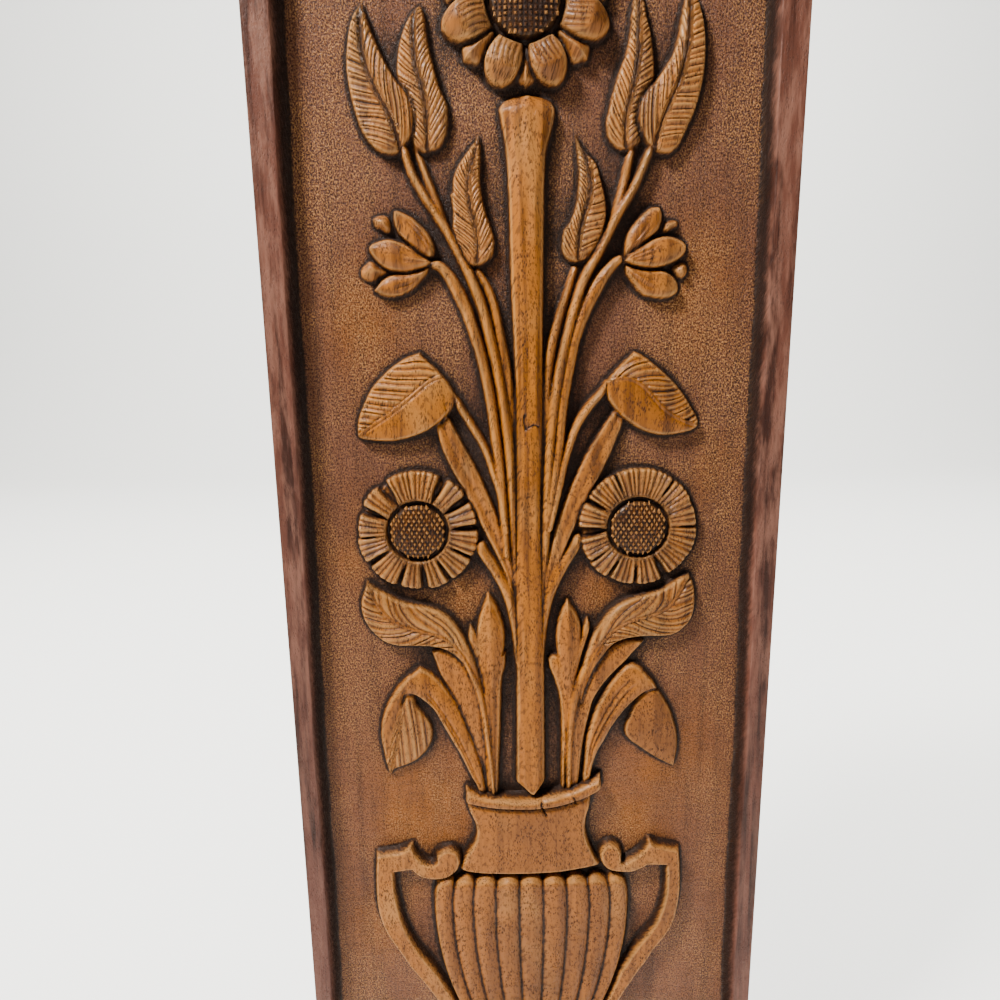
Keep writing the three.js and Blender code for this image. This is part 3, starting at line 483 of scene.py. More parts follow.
def carveLilies():
    petal = dict(drop=0.34, warm=0.7)
    knob = dict(hip=(1.3, 1.0), warm=0.3, edge=0.25, wall=0.5)
    layShape([(-58.1, 158.7), (-56.4, 159.9), (-53.4, 160), (-51.6, 158.5), (-51.2, 155), (-52.6, 153.8),
              (-55.1, 155.1), (-57.3, 156), (-58.1, 158.7), (-58.1, 158.7)], 3.6, **knob)
    layShape([(-63.6, 140.4), (-61.8, 142.4), (-59.5, 143.6), (-57, 142.7), (-54.3, 140.7),
              (-53.2, 139.7), (-56.7, 137.8), (-59.1, 136.4), (-61.3, 136.6), (-63.2, 138.2),
              (-63.6, 140.4), (-63.6, 140.4)], 3.8, **knob)
    layShape([(-49.8, 161.5), (-47.9, 161.5), (-45, 160.1), (-42.1, 158.3), (-39.7, 156.1),
              (-37.4, 153.6), (-35.8, 150.9), (-35, 148.2), (-35.4, 145.7), (-37, 144.3), (-37, 144.3),
              (-39.2, 145), (-41.8, 146.5), (-44, 148.7), (-46.1, 150.9), (-48.3, 153.4), (-49.6, 156.2),
              (-50.1, 158.7), (-49.8, 161.5), (-49.8, 161.5)], [4.6, 5.0, 4.6],
             [(-36.2, 145), (-38.3, 148.6), (-41.2, 152.6), (-44.8, 156.9), (-49.1, 161.2)],
             detail=grooves([-0.15, -0.55], 0.75, 0.13, start=0.1, end=0.85), **petal)
    layShape([(-36.7, 141.7), (-38.3, 138.8), (-39.9, 136.7), (-42.2, 134.5), (-45.3, 132.4),
              (-48.4, 131), (-52.3, 130.4), (-56, 131.2), (-58.4, 132.9), (-58.4, 132.9), (-55.8, 136.2),
              (-52.7, 138), (-50, 139), (-45.8, 139.7), (-41.3, 140.1), (-36.7, 141.7), (-36.7, 141.7)],
             [4.0, 4.4, 4.0],
             [(-36.7, 141), (-40.6, 138.3), (-45.2, 136), (-50.6, 134.7), (-57.5, 133.1)],
             detail=grooves([0.3, 0.7], 0.8, 0.15, end=0.8), **petal)
    layShape([(-36.4, 142.9), (-37.8, 141.5), (-40.1, 140.6), (-42.7, 140), (-45.8, 139.3),
              (-49.9, 139.7), (-52.5, 140.5), (-55.4, 141.9), (-57.6, 144), (-59, 146.1), (-59.7, 148.2),
              (-58.4, 149.9), (-55.4, 150.9), (-52.7, 151.4), (-49.4, 150.8), (-46.5, 149.7),
              (-43.5, 147.9), (-40.8, 145.7), (-38.4, 144.4), (-36.4, 142.9), (-36.4, 142.9)],
             [5.0, 5.6, 5.4, 4.6],
             [(-36.6, 142.9), (-41.1, 143.5), (-47, 144.7), (-53, 146.4), (-59.4, 148.2)],
             detail=grooves([0.18, -0.28, -0.62], 0.85, 0.13, end=0.55), **petal)
    layShape([(51.2, 153.6), (52.2, 155.9), (54.4, 156.9), (56.9, 156.4), (56.9, 155), (55.3, 153.9),
              (52.7, 152.5), (51.2, 153.6), (51.2, 153.6)], 3.2, **knob)
    layShape([(56.1, 140.6), (58.4, 141.6), (60.3, 141.2), (61.2, 139.4), (60.9, 137.2), (58.6, 135.8),
              (56.2, 136.8), (55.3, 138.8), (56.1, 140.6), (56.1, 140.6)], 3.6, **knob)
    layShape([(37.4, 141), (41, 139.9), (46.3, 139.3), (50.5, 138.9), (53.6, 137.9), (56.1, 136.1),
              (57.5, 133.9), (57.7, 131.3), (56.1, 129.5), (52.3, 128.5), (48.5, 128.8), (44.7, 129.6),
              (42.2, 131.5), (39.9, 134.5), (37.5, 138.1), (37.4, 141), (37.4, 141)],
             [4.0, 4.6, 4.6, 3.8],
             [(37.6, 140.3), (42.6, 136.6), (48, 133.6), (52.6, 131.7), (56.8, 131.1)],
             detail=grooves([0.25, -0.3], 0.75, 0.15, end=0.7), **petal)
    layShape([(36.9, 143.6), (37.1, 147.5), (37.5, 150.8), (38.9, 153.9), (41.8, 157.4), (44.7, 160.2),
              (47.6, 161.6), (49.9, 161.2), (50.8, 159.1), (50.6, 156.3), (49.4, 153.4), (47.2, 151.2),
              (44.6, 148.9), (42.1, 146.4), (39.5, 144.4), (36.9, 143.6), (36.9, 143.6)],
             [4.4, 4.8, 4.6, 4.0],
             [(37.6, 144.7), (40.9, 148.9), (44.5, 153.5), (47, 157), (49.5, 160.9)],
             detail=grooves([0.05, -0.35], 0.7, 0.13, end=0.8), **petal)
    layShape([(36.9, 142.3), (38.6, 144.8), (41.2, 146.3), (44.1, 148.1), (47.1, 149.8), (50.4, 150.8),
              (53.8, 151), (57.2, 150), (59.5, 148.6), (60.3, 146.6), (59.4, 144.3), (57.1, 142.5),
              (54.1, 141.1), (50.7, 140.1), (47.4, 139.5), (44, 139.8), (40.6, 140.6), (36.9, 142.3),
              (36.9, 142.3)], [5.0, 5.6, 5.4, 4.6],
             [(37.1, 142.4), (42.4, 143.3), (47.6, 144.8), (52.8, 145.8), (59.9, 146.8)],
             detail=grooves([0.35, 0.0, -0.35], 0.85, 0.12, end=0.6), **petal)


# where each petal begins and ends, in degrees about its flower, and how far it reaches
daisies = {
    "head": 11.2, "wider": 1.7,
    "petals": [
        {"centre": (-45.4, 37.7), "reach": 24.3, "edges": [(68.7, 118), (38.4, 57), (8, 27.5), (-25, -1),
         (-54.7, -31), (-79.5, -62.2), (-107.5, -89), (-142.5, -114.7), (-172, -150.5), (162.6, 184),
         (132, 151)]},
        {"centre": (44.6, 38.1), "reach": 24.0, "edges": [(56.6, 111.5), (29.5, 52), (3, 28), (-31, -1),
         (-56, -33), (-89, -66), (-117, -95), (-141, -123), (-168, -145), (155, 177.5), (116, 147)]},
    ],
}


def carveDaisy(flower, seed):
    rng = np.random.default_rng(seed)
    centre, head = flower["centre"], daisies["head"]
    part, x, z = around([centre], flower["reach"] + 4)
    dx, dz = x - centre[0], z - centre[1]
    away = np.hypot(dx, dz)
    turn = np.degrees(np.arctan2(dz, dx))
    inside = np.full(x.shape, -9.0)
    top, counted, strength = np.zeros((3, *x.shape))
    settle(part, 1.9 + 0 * x, flower["reach"] - 1.6 - away, warm=0.3, wall=1.0, cut=0)
    for first, last in flower["edges"]:
        middle, half = (first + last) / 2, (last - first) / 2 + daisies["wider"]
        off = (turn - middle + 180) % 360 - 180
        gap = (half - np.abs(off)) * np.pi / 180 * np.maximum(away, 6) + 0.9 * ease(19, 12, away)
        count = max(3, round((last - first) / 5.6))
        turns = (off / half + 1) / 2 * count
        turns = turns + 0.13 * np.sin(2.3 * turns + middle)
        flute = np.abs(np.sin(np.pi * turns)) ** 0.8
        rim = flower["reach"] + rng.uniform(-0.5, 0.5) + 0.25 * flute - 0.5 * (off / half) ** 4
        here = np.minimum(gap, rim - away)
        out = np.clip((away - head) / (flower["reach"] - head), 0, 1)
        tilt = rng.uniform(-0.35, 0.35) * off / half
        fluted = ease(0.0, 0.25, out)
        face = 2.9 + 1.5 * np.sin(np.pi * (0.1 + 0.62 * out)) + tilt - 0.75 * (1 - flute) * fluted
        counted = np.where(here > inside, turns, counted)
        uneven = 0.75 + 0.2 * np.sin(1.7 * turns + middle)
        strength = np.where(here > inside, uneven * fluted, strength)
        inside, top = np.maximum(inside, here), np.where(here > inside, face, top)
    settle(part, top, inside, warm=0.45, wall=0.6, edge=0.45, lines=(counted, strength))
    layDome(centre, head + 1.4, 1.3, 1.0, warm=0.15, wall=0.8, cut=0)
    layDome(centre, head, 5.0, 2.8, warm=0.6, wall=0.4, cut=0)
    # a dark ring painted round the seed head, as stain and painted shade
    stainAndShade[part] = np.maximum(stainAndShade[part], 0.9 * ease(head + 1.6, head + 0.5, away))
    stainAndShade[part] = np.maximum(stainAndShade[part], 0.45 * ease(head + 7, head + 1, away))
    # the gaps between the petals are painted dark, as stain and painted shade
    stainAndShade[part] = np.maximum(stainAndShade[part], 0.6 * ease(0.3, -0.3, inside) * ease(head, head + 2, away)
                             * (1 - ease(flower["reach"] - 1, flower["reach"] + 1, away)))


# a petal's places: degrees from its middle line, and how far out
sunflower = {
    "centre": (0.0, 231.7), "head": 12.8,
    "petalTurns": (22, 73, 117, 160),
    "petal": [(-19, 14), (-19.5, 17), (-18.6, 20.5), (-15.5, 24.4), (-11, 27.4), (-5.5, 29.6), (0, 30.3),
              (5.5, 29.6), (11, 27.4), (15.5, 24.4), (18.6, 20.5), (19.5, 17), (19, 14), (0, 12), (-19, 14)],
    "sepalTurns": (0, 49, 95, 138, 180),
    "sepal": [(-9, 17), (-8.5, 23), (-8.8, 26.6), (-4.5, 28.4), (0, 29.6), (0, 29.6), (4.5, 28.4),
            (8.8, 26.6),
              (8.5, 23), (9, 17), (0, 15), (-9, 17)],
}


def carveSunflower():
    cx, cz = sunflower["centre"]

    def turned(places, turn, side=1, longer=1.0):
        angles = [math.radians(side * (turn + degrees) - 90) for degrees, away in places]
        return [(cx + math.cos(angle) * away * longer, cz + math.sin(angle) * away * longer)
                for angle, (degrees, away) in zip(angles, places)]

    # the outer third of a petal is cut back steeply, and a few gouge marks run along it
    def folded(run, off, half, length):
        share = run / length
        tip = -4.4 * np.clip((share + 0.1 * (off / 7) ** 2 - 0.66) / 0.34, 0, 1)
        tip = tip - 1.3 * ease(0.35, 0.0, share)
        marks = np.exp(-((off + 2.6) / 0.5) ** 2) + 0.7 * np.exp(-((off - 3.3) / 0.5) ** 2)
        held = ease(0.0, 0.2, share) * (1 - ease(0.5, 0.66, share))
        return tip - 0.6 * marks * held, off / 1.9 + 0.4 * np.sin(run / 3), 0.6 * held

    def hipped(run, off, half, length):
        return -1.5 * np.clip(np.abs(off) / np.maximum(half, 0.1), 0, 1) - 1.6 * ease(0.8, 1.0, run / length)
    for turn in sunflower["sepalTurns"]:
        for side in ((1, -1) if 0 < turn < 180 else (1,)):
            longer = 1.0 if turn else 0.96
            layShape(turned(sunflower["sepal"], turn, side, longer), [4.4, 5.4, 5.2],
                     turned([(0, 16), (0, 23), (0, 29.8)], turn, side, longer), drop=0.2, roundness=1,
                     detail=hipped, warm=0.4, edge=0.3)
    for turn in sunflower["petalTurns"]:
        for side in (1, -1):
            longer = 1.0 if turn < 60 else 1.04
            layShape(turned(sunflower["petal"], turn, side, longer), [5.6, 7.2, 8.0, 8.0],
                     turned([(0, 12), (0, 21), (0, 30.5)], turn, side, longer), drop=0.26, roundness=2.4,
                     detail=folded, warm=0.5, wall=0.7, edge=0.7)
    layDome(sunflower["centre"], sunflower["head"] + 1.5, 1.8, 1.6, warm=0.05, wall=0.8, cut=0)
    layDome(sunflower["centre"], sunflower["head"], 6.0, 4.8, warm=0.1, wall=0.4, cut=0)
    # a dark ring painted round the seed head, as stain and painted shade
    part, x, z = around([sunflower["centre"]], sunflower["head"] + 5)
    away = np.hypot(x - cx, z - cz)
    stainAndShade[part] = np.maximum(stainAndShade[part], ease(sunflower["head"] + 3.2, sunflower["head"] + 1, away))


def carveBuds():
    stem = dict(drop=0.3, warm=0.8)
    # left: stem, small side leaves, then the pointed bud
    layShape([(-18.8, -84.5), (-18.8, -84.5), (-19.7, -64.1), (-19.9, -49.9), (-20.5, -36), (-22, -25),
              (-24.3, -15.5), (-25.8, -8.7), (-24.9, -3.4), (-24.9, -3.4), (-23.2, -5.2), (-20.8, -8.8),
              (-16.7, -13.3), (-12.5, -16.1), (-10.2, -15.7), (-10.2, -15.7), (-10.5, -21.5),
              (-11.8, -27), (-12.5, -40.7), (-13.1, -54.8), (-13.7, -66.6), (-14.4, -84.6),
              (-14.4, -84.6)], [4.2, 4.4, 4.6, 5.0],
             [(-16.6, -84.5), (-16.5, -54.7), (-16.7, -36), (-17.3, -22.3), (-18.3, -11.1)],
             detail=grooves([0.1, -0.45], 0.8, 0.2, end=0.95), **stem)
    layShape([(-16.6, -35.8), (-18.2, -26.7), (-20.1, -17.6), (-22.1, -10.4), (-22.1, -6), (-21.5, -2.9),
              (-20.3, 1.9), (-18.8, 6.3), (-17.1, 10.4), (-17.1, 10.4), (-14.3, 6.6), (-12.3, 1.4),
              (-10.8, -4.4), (-10.6, -10.1), (-11.3, -15.9), (-12.6, -23.1), (-14, -30.4), (-16.6, -35.8),
              (-16.6, -35.8)], [4.0, 5.6, 6.0, 5.9, 5.0],
             [(-16.2, -34.9), (-15.7, -22.2), (-15.8, -10.9), (-16.2, 0.1), (-16.9, 9.7)], drop=0.34,
             roundness=1.3, detail=grooves([0.45], 0.35, 0.2, start=0.2), warm=0.8, merge=True)
    # right
    layShape([(13.7, -85), (13.7, -85), (13.6, -64.7), (13.6, -50.5), (12.7, -36.5), (10.6, -28.2),
              (8.5, -22.7), (7.8, -18.5), (7.8, -18.5), (9.7, -17.1), (12.2, -17.4), (15.2, -19.2),
              (18.5, -16.1), (21.4, -9.5), (22.6, -4.2), (24.4, -0.9), (24.4, -0.9), (25.3, -4.2),
              (24.4, -9.5), (22.3, -16.6), (20.3, -25.6), (18.3, -38.4), (16.2, -47.7), (15.4, -64.7),
              (15, -85), (15, -85)], [4.2, 4.4, 4.6, 5.0],
             [(14.6, -85), (14.9, -55.2), (15.7, -38.9), (16.5, -27.4), (17.7, -16.1)],
             detail=grooves([-0.1, 0.4], 0.8, 0.2, end=0.9), **stem)
    layShape([(16.9, -38.2), (14.8, -29), (12.6, -19.9), (11.5, -12.7), (11.4, -7.8), (11.9, -3),
              (13.4, 2.7), (15.9, 7.5), (15.9, 7.5), (18, 4.1), (20.1, 0.6), (21.3, -3.5), (21.6, -9.3),
              (20.9, -16.4), (19.4, -25.4), (16.9, -38.2), (16.9, -38.2)], [4.0, 5.4, 5.8, 5.7, 4.8],
             [(16.9, -37.3), (16.3, -22.7), (16.2, -11.4), (16.2, -0.4), (15.9, 6.6)], drop=0.34,
             roundness=1.3, detail=grooves([-0.4], 0.35, 0.2, start=0.2), warm=0.6, merge=True)


def carveLowBlades():
    # blades behind
    layShape([(-19.7, -84.2), (-21.2, -71.5), (-23.6, -62.8), (-26.1, -55.1), (-28.9, -47.5),
              (-31.7, -40), (-34.5, -33), (-37.7, -26.1), (-39.6, -20.6), (-41.2, -15.2), (-41.2, -15.2),
              (-36.9, -13.4), (-31.1, -16.2), (-26.1, -21.7), (-22.5, -29.1), (-20.1, -37.4),
              (-18.1, -47.7), (-16.6, -60), (-15.9, -69.6), (-16.2, -84.2), (-16.2, -84.2)],
             [4.0, 4.2, 3.8, 3.0],
             [(-18.2, -77.3), (-21.4, -57.6), (-26.1, -40.1), (-32.2, -25.3), (-39.1, -15.7)],
             detail=grooves([0.1], 0.4, 0.35), drop=0.2, warm=0.55)
    layShape([(15.5, -84.7), (15.5, -67.2), (16.3, -55.8), (17.5, -46.4), (20.1, -37.1), (23.8, -28),
              (28.8, -19.9), (34.6, -13.7), (42.1, -10.7), (48.4, -11.6), (48.4, -11.6), (43.9, -16.5),
              (40.6, -20.5), (36.5, -24.8), (32.7, -29), (29.8, -33.1), (27.3, -37.7), (25.7, -43.7),
              (24.4, -50.3), (23.2, -57.8), (22, -66.4), (20.8, -84.8), (20.8, -84.8)],
             [4.0, 4.2, 3.8, 3.0],
             [(18.1, -77.9), (20.2, -58.2), (23.9, -41.8), (31.4, -27.2), (46.4, -12.1)],
             detail=grooves([-0.1], 0.4, 0.35), drop=0.2, warm=0.5)
    # drooping leaves under the folded blades
    layShape([(-50.1, -24.6), (-54.1, -30), (-56.9, -35.5), (-59.2, -40.1), (-61.1, -44.3),
              (-62.6, -48.9), (-63.6, -53.7), (-64, -58.4), (-63.6, -63.2), (-62.7, -68), (-61.5, -72.4),
              (-61.5, -72.4), (-59.7, -70), (-56.1, -68.6), (-52.6, -67.2), (-49, -64.9), (-45.8, -61.6),
              (-43.5, -57.6), (-42.3, -53.5), (-42.5, -49.7), (-44, -46.4), (-46.5, -43.1),
              (-48.9, -39.3), (-50.1, -24.6), (-50.1, -24.6)], [3.8, 4.0, 3.6, 3.0],
             [(-52.8, -29.1), (-54.5, -38.8), (-56.2, -49.5), (-58.4, -59.9), (-61.5, -71.9)],
             detail=ribs((9.0, 0.3, 3.4), (6.0, 0.5, 4.2), vein=0.5, veinWidth=0.9, start=0.1, seed=1.0),
             drop=0.35, warm=0.6)
    layShape([(51.3, -30.8), (54.4, -33), (56.6, -36.3), (58.8, -40), (60.7, -43.8), (62.3, -48.7),
              (63.6, -53.9), (64.1, -59.6), (63.7, -64.9), (62.9, -70.2), (62.9, -70.2), (60.2, -69),
              (55.8, -66.5), (51.3, -63.5), (46.9, -60.1), (43.3, -57.2), (41.3, -54), (41.4, -50.2),
              (42.9, -46), (44.7, -41.4), (47.2, -37.2), (51.3, -30.8), (51.3, -30.8)],
             [3.4, 3.6, 3.4, 2.8],
             [(50.9, -32.7), (52.5, -42.9), (54.9, -52.4), (58.2, -61), (62.9, -69.7)], drop=0.3,
             warm=0.55)
    # folded blades in front
    layShape([(-18.8, -85.1), (-18.8, -85.1), (-23.2, -85), (-23.2, -85), (-23.5, -78.2), (-25.6, -73.8),
              (-28.1, -68), (-30.5, -62.2), (-33, -57.4), (-35.4, -52.6), (-38.7, -46), (-41.1, -41.3),
              (-44.4, -37.8), (-46.9, -35.7), (-49.4, -34.2), (-51.9, -33.6), (-53.6, -34.2),
              (-55.4, -36.9), (-57.1, -36.4), (-57.1, -36.4), (-55.2, -32.3), (-53, -28.7),
              (-50.3, -25.1), (-46.4, -21.8), (-46.4, -21.8), (-43.5, -23.4), (-40.6, -25.7),
              (-37.7, -28.7), (-34.9, -32.6), (-32, -37.3), (-29.6, -42.9), (-27.2, -49.5),
              (-24.8, -56.1), (-22.7, -62.8), (-21.1, -69.5), (-19.5, -76.8), (-18.8, -85.1),
              (-18.8, -85.1)], [4.6, 5.0, 5.2, 5.0, 4.6],
             [(-22.2, -77.7), (-26.3, -66.6), (-30.8, -55.5), (-35.7, -46), (-40.2, -38.5),
              (-44.6, -32.5), (-50.8, -27.8)], detail=grooves([0.22, -0.12], 1.1, 0.11, end=0.93),
             drop=0.22, warm=0.8)
    layForm([(-50.8, -26.2), (-54.4, -31.1), (-57.7, -37.5), (-61, -45.9), (-62.7, -55.2),
             (-62.6, -61.9)], [1.0, 2.0, 2.6, 2.6, 2.0, 0.8], [4.6, 4.9, 4.8, 4.4, 3.8, 3.2], drop=0.3,
            warm=0.7, merge=True)
    layShape([(22.5, -84.4), (22.5, -84.4), (22.9, -74.7), (23.7, -67), (23.9, -61.3), (24.4, -55.6),
              (25.7, -49.9), (27.3, -44.8), (29.2, -39.7), (31.5, -35.2), (34, -30.6), (36.4, -27.3),
              (38.9, -24.3), (41.4, -22.1), (43.9, -21.5), (43.9, -21.5), (46.9, -23.1), (50, -26.6),
              (52.9, -30), (54.4, -32.9), (54.4, -32.9), (52.7, -33), (49.3, -34.3), (46, -36.8),
              (42.6, -40.1), (39.3, -44.1), (36.8, -47.6), (34.3, -52), (32, -56.7), (29.5, -61.4),
              (27.8, -66.1), (26.4, -73.8), (26, -84.5), (26, -84.5)], [4.6, 5.0, 5.2, 5.0, 4.4],
             [(24.6, -72.3), (27.1, -59.4), (30.8, -50), (35.8, -40.8), (41.6, -33), (48.7, -27.2)],
             detail=grooves([0.3, -0.1], 1.1, 0.11, end=0.97), drop=0.22, warm=0.6)


urn = {"shoulder": -121.5, "bottom": -238.0, "belly": 44.3, "bellyAt": -138.0, "waist": 7.5, "reeds": 9}


def carveUrn():
    part, x, z = around([(-75, -270), (75, -70)], 2)
    # foot
    half = np.interp(z[:, 0], [-262, -256, -250, -244, -238, -230], [25, 24, 15, 8.5, 7.5, 9])[:, None]
    inside = np.minimum(half - np.abs(x), np.minimum(z + 262, -232 - z))
    settle(part, 5.2 - 1.2 * np.clip(np.abs(x) / half, 0, 1) ** 2 + 0 * z, inside, warm=0.5)
    # body with its reeds
    belly, waist = urn["belly"], urn["waist"]
    low = np.clip((urn["bellyAt"] - z) / (urn["bellyAt"] - urn["bottom"]), 0, 1)
    high = np.clip((z - urn["bellyAt"]) / (urn["shoulder"] - urn["bellyAt"]), 0, 1)
    half = waist + (belly - waist) * (1 - low ** 2.05) - 3.4 * high ** 2.5
    v = np.clip(x / half, -1, 1)
    reed = (v * 0.9 + 0.1 * v ** 3 + 1) / 2 * urn["reeds"]
    within = np.clip(reed - np.floor(reed), 0, 1)
    swell = np.sin(np.pi * within) ** 0.75
    # each reed ends in its own rounded top
    shoulderLine = urn["shoulder"] - 3.6 + 3.4 * swell - 1.2 * v ** 2
    inside = np.minimum(half - np.abs(x), np.minimum(shoulderLine - z, z - urn["bottom"]))
    top = 7.9 - 2.4 * v ** 2 - 2.4 * (1 - swell) - 1.2 * low ** 2 - 1.0 * ease(3.2, 0.0, shoulderLine - z)
    settle(part, top, inside, warm=0.6, edge=1.3)
    # the grooves between the reeds are painted dark: stain, and painted shade
    stainAndShade[part] = np.maximum(stainAndShade[part], 0.6 * (1 - ease(0.0, 0.7, swell)) * ease(0, 1, inside))
    # dark hollow between the neck and the reeds
    hollow = (np.abs(x) < 36) & (z > urn["shoulder"] - 0.4) & (z < urn["shoulder"] + 3)
    height[part] = np.where(hollow, np.minimum(height[part], 1.2), height[part])
    # neck
    layShape([(-26.6, -82.7), (-26.6, -82.7), (-27.6, -87.6), (-26.8, -90.6), (-25.1, -94.5),
              (-24.1, -98.5), (-24.4, -102.5), (-25.8, -106.5), (-27.7, -109.5), (-29.5, -113),
              (-32.4, -119.3), (-32.4, -119.3), (-26.6, -120.5), (-14, -120.7), (-0.6, -120.5),
              (12.8, -120), (31.6, -117.8), (31.6, -117.8), (28.8, -113.5), (27, -109.4), (25.2, -104.3),
              (24.2, -99.3), (24.6, -93.4), (25.9, -88.5), (25.9, -88.5), (26.7, -81.6), (26.7, -81.6),
              (12.7, -83.8), (-0.4, -85.4), (-13.5, -85.2), (-26.6, -82.7), (-26.6, -82.7)], 6.4,
             [(0, -83.1), (-0.1, -101.4), (-0.2, -120.6)], drop=0, warm=0.62, edge=0.8, detail=lambda run,
             off, half, length: -1.7 * np.abs(off / 28) ** 2.4)
    # a painted shadow along the foot of the neck, over the reeds
    stainAndShade[part] = np.maximum(stainAndShade[part], 0.95 * np.exp(-((z + 121.0) / 1.1) ** 2) * ease(36, 33, np.abs(x)))
    # the stems go down into a hollow behind the rim, painted dark as shadow
    mouth = np.exp(-((z + 82) / 4) ** 2) * ease(29, 26, np.abs(x))
    stainAndShade[part] = np.maximum(stainAndShade[part], 0.8 * mouth * (1 - ease(4.2, 5.2, height[part])))
    # rim, thin and curved, with two cracks
    layShape([(-28.4, -85.3), (-28.4, -85.3), (-28.2, -78.5), (-28.2, -78.5), (-23, -80.8), (-17, -82.1),
              (-9.1, -82.9), (-2.2, -83.1), (4.8, -82.4), (12.6, -80.8), (21.3, -77.7), (30.4, -73.2),
              (30.4, -73.2), (31, -79), (31, -79), (26.6, -81.8), (19.6, -84.6), (11.8, -86.7),
              (3.9, -87.8), (-4.8, -87.9), (-13.6, -87.7), (-20.5, -86.8), (-28.4, -85.3),
              (-28.4, -85.3)], [6.8, 7.6, 7.9, 7.6, 6.8],
             [(-27.9, -81.9), (-13.5, -85), (1.3, -85.3), (17, -82.4), (30.8, -76.1)], drop=0.3,
             roundness=3, warm=0.5, edge=0.5, cut=0.6)
    nick([(4.8, -81.9), (4.5, -84.9), (5.2, -87.8), (7, -91.3)], 0.35, 1.4)
    nick([(18.3, -81.5), (19.2, -83.1), (19.6, -85.6)], 0.3, 1.2)
    # handles: flat on top, with sloping sides
    flat = dict(warm=0.6, edge=0.5, wall=1.4)
    layShape([(-68.8, -111.1), (-68.8, -111.1), (-61.6, -110.2), (-57.6, -109.4), (-53.4, -106.8),
              (-53.4, -106.8), (-51.8, -110.9), (-49.7, -113.9), (-47.1, -116), (-43.5, -116.4),
              (-41.7, -114.6), (-41.7, -114.6), (-41.9, -112), (-39.7, -109.8), (-36.1, -108.9),
              (-33.1, -110.7), (-32, -114.7), (-33.5, -119.1), (-37.4, -122.2), (-42.4, -123.3),
              (-47.3, -122.7), (-50.9, -121.1), (-53.4, -118.3), (-53.4, -118.3), (-62, -119.3),
              (-62, -119.3), (-61.9, -128.1), (-60.9, -136.4), (-59.4, -143.8), (-57, -151.3),
              (-53.6, -158.8), (-48.8, -166.5), (-44.4, -173.1), (-40.9, -179.7), (-37.4, -186.4),
              (-33.9, -194.3), (-29.4, -204.5), (-29.4, -204.5), (-37.8, -202.1), (-37.8, -202.1),
              (-44.9, -186.8), (-51.9, -175.7), (-56.3, -169.1), (-60.6, -161.4), (-64.9, -153.8),
              (-68.2, -145.3), (-69.6, -136.8), (-69.6, -122.8), (-68.8, -111.1), (-68.8, -111.1)], 5.2,
             **flat)
    layShape([(65.9, -110.3), (65.9, -110.3), (60.1, -109), (56.5, -108.4), (52.9, -106.3),
              (52.9, -106.3), (51.2, -109.5), (48.6, -112.3), (45.1, -114.8), (41.5, -116.8),
              (40.2, -115.9), (40.2, -115.9), (40.1, -111.4), (38.3, -108.3), (35.1, -107.2),
              (32.5, -108.7), (31.2, -112.2), (31.7, -115.3), (33.5, -118.4), (36.2, -120),
              (39.8, -120.7), (44.3, -120.9), (48.8, -119.4), (52.3, -117.2), (52.3, -117.2),
              (60.8, -117.6), (60.8, -117.6), (61.2, -128.1), (60.5, -135.4), (58.5, -143.7),
              (55.9, -150), (52.4, -155.3), (48, -161.7), (44.4, -168.1), (40.8, -174.6), (39.1, -180),
              (35.9, -187.7), (32.8, -195.5), (28.2, -205.5), (28.2, -205.5), (34.8, -202.2),
              (34.8, -202.2), (42, -186.7), (45.6, -180.1), (49.2, -173.6), (52.7, -168.2),
              (56.2, -161.8), (60.6, -155.4), (64.1, -149.1), (66.1, -140.7), (67.1, -130.3),
              (66.7, -120), (65.9, -110.3), (65.9, -110.3)], 5.2, **flat)


def carveBorder():
    x, z = np.meshgrid(acrossMm, upMm)
    share = (z + panel["height"] / 2) / panel["height"]
    face = border["foot"] + (border["top"] - border["foot"]) * share
    face = face + 0.35 * np.sin(z / 31) + 0.15 * np.sin(z / 7.3)      # never quite straight
    fromSide, fromEnd = panel["width"] / 2 - np.abs(x), panel["height"] / 2 - np.abs(z)
    face = np.where(fromSide < fromEnd, face, np.where(z > 0, border["top"], border["foot"]))
    down = ease(0, border["slope"], np.minimum(fromSide, fromEnd) - face)
    height[:] = np.maximum(height, border["rise"] * (1 - down))
    return 1 - down


# softens the whole face a little, as handling and wax do
def wearFace():
    share = surface["wear"]
    for axis in (0, 1):
        before, after = np.roll(height, 1, axis), np.roll(height, -1, axis)
        height[:] = height * (1 - 2 * share) + (before + after) * share


# smooth random hills, from -1 to 1, a given distance apart
def patchy(apart, seed):
    rng = np.random.default_rng(seed)
    coarseX = np.arange(acrossMm[0] - 2 * apart, acrossMm[-1] + 2 * apart, apart)
    coarseZ = np.arange(upMm[0] - 2 * apart, upMm[-1] + 2 * apart, apart)
    hills = rng.uniform(-1, 1, (len(coarseZ), len(coarseX)))

    def stretched(values, coarse, fine):
        at = (fine - coarse[0]) / apart
        i = at.astype(int)
        t = ease(0, 1, at - i)[:, None]
        return values[i] * (1 - t) + values[i + 1] * t
    return stretched(stretched(hills, coarseZ, upMm).T, coarseX, acrossMm).T


# the ground isn't quite flat: it was lowered with a gouge, then matted
def roughenGround(borderMask):
    free = 1 - np.maximum(formMask, borderMask)
    uneven = 0.2 * patchy(9.0, 21) + 0.14 * patchy(3.4, 22)
    height[:] = height + free * uneven
    height[:] = height + (1 - free) * (1 - borderMask) * (0.1 * patchy(5.0, 24) + 0.05 * patchy(1.6, 25))


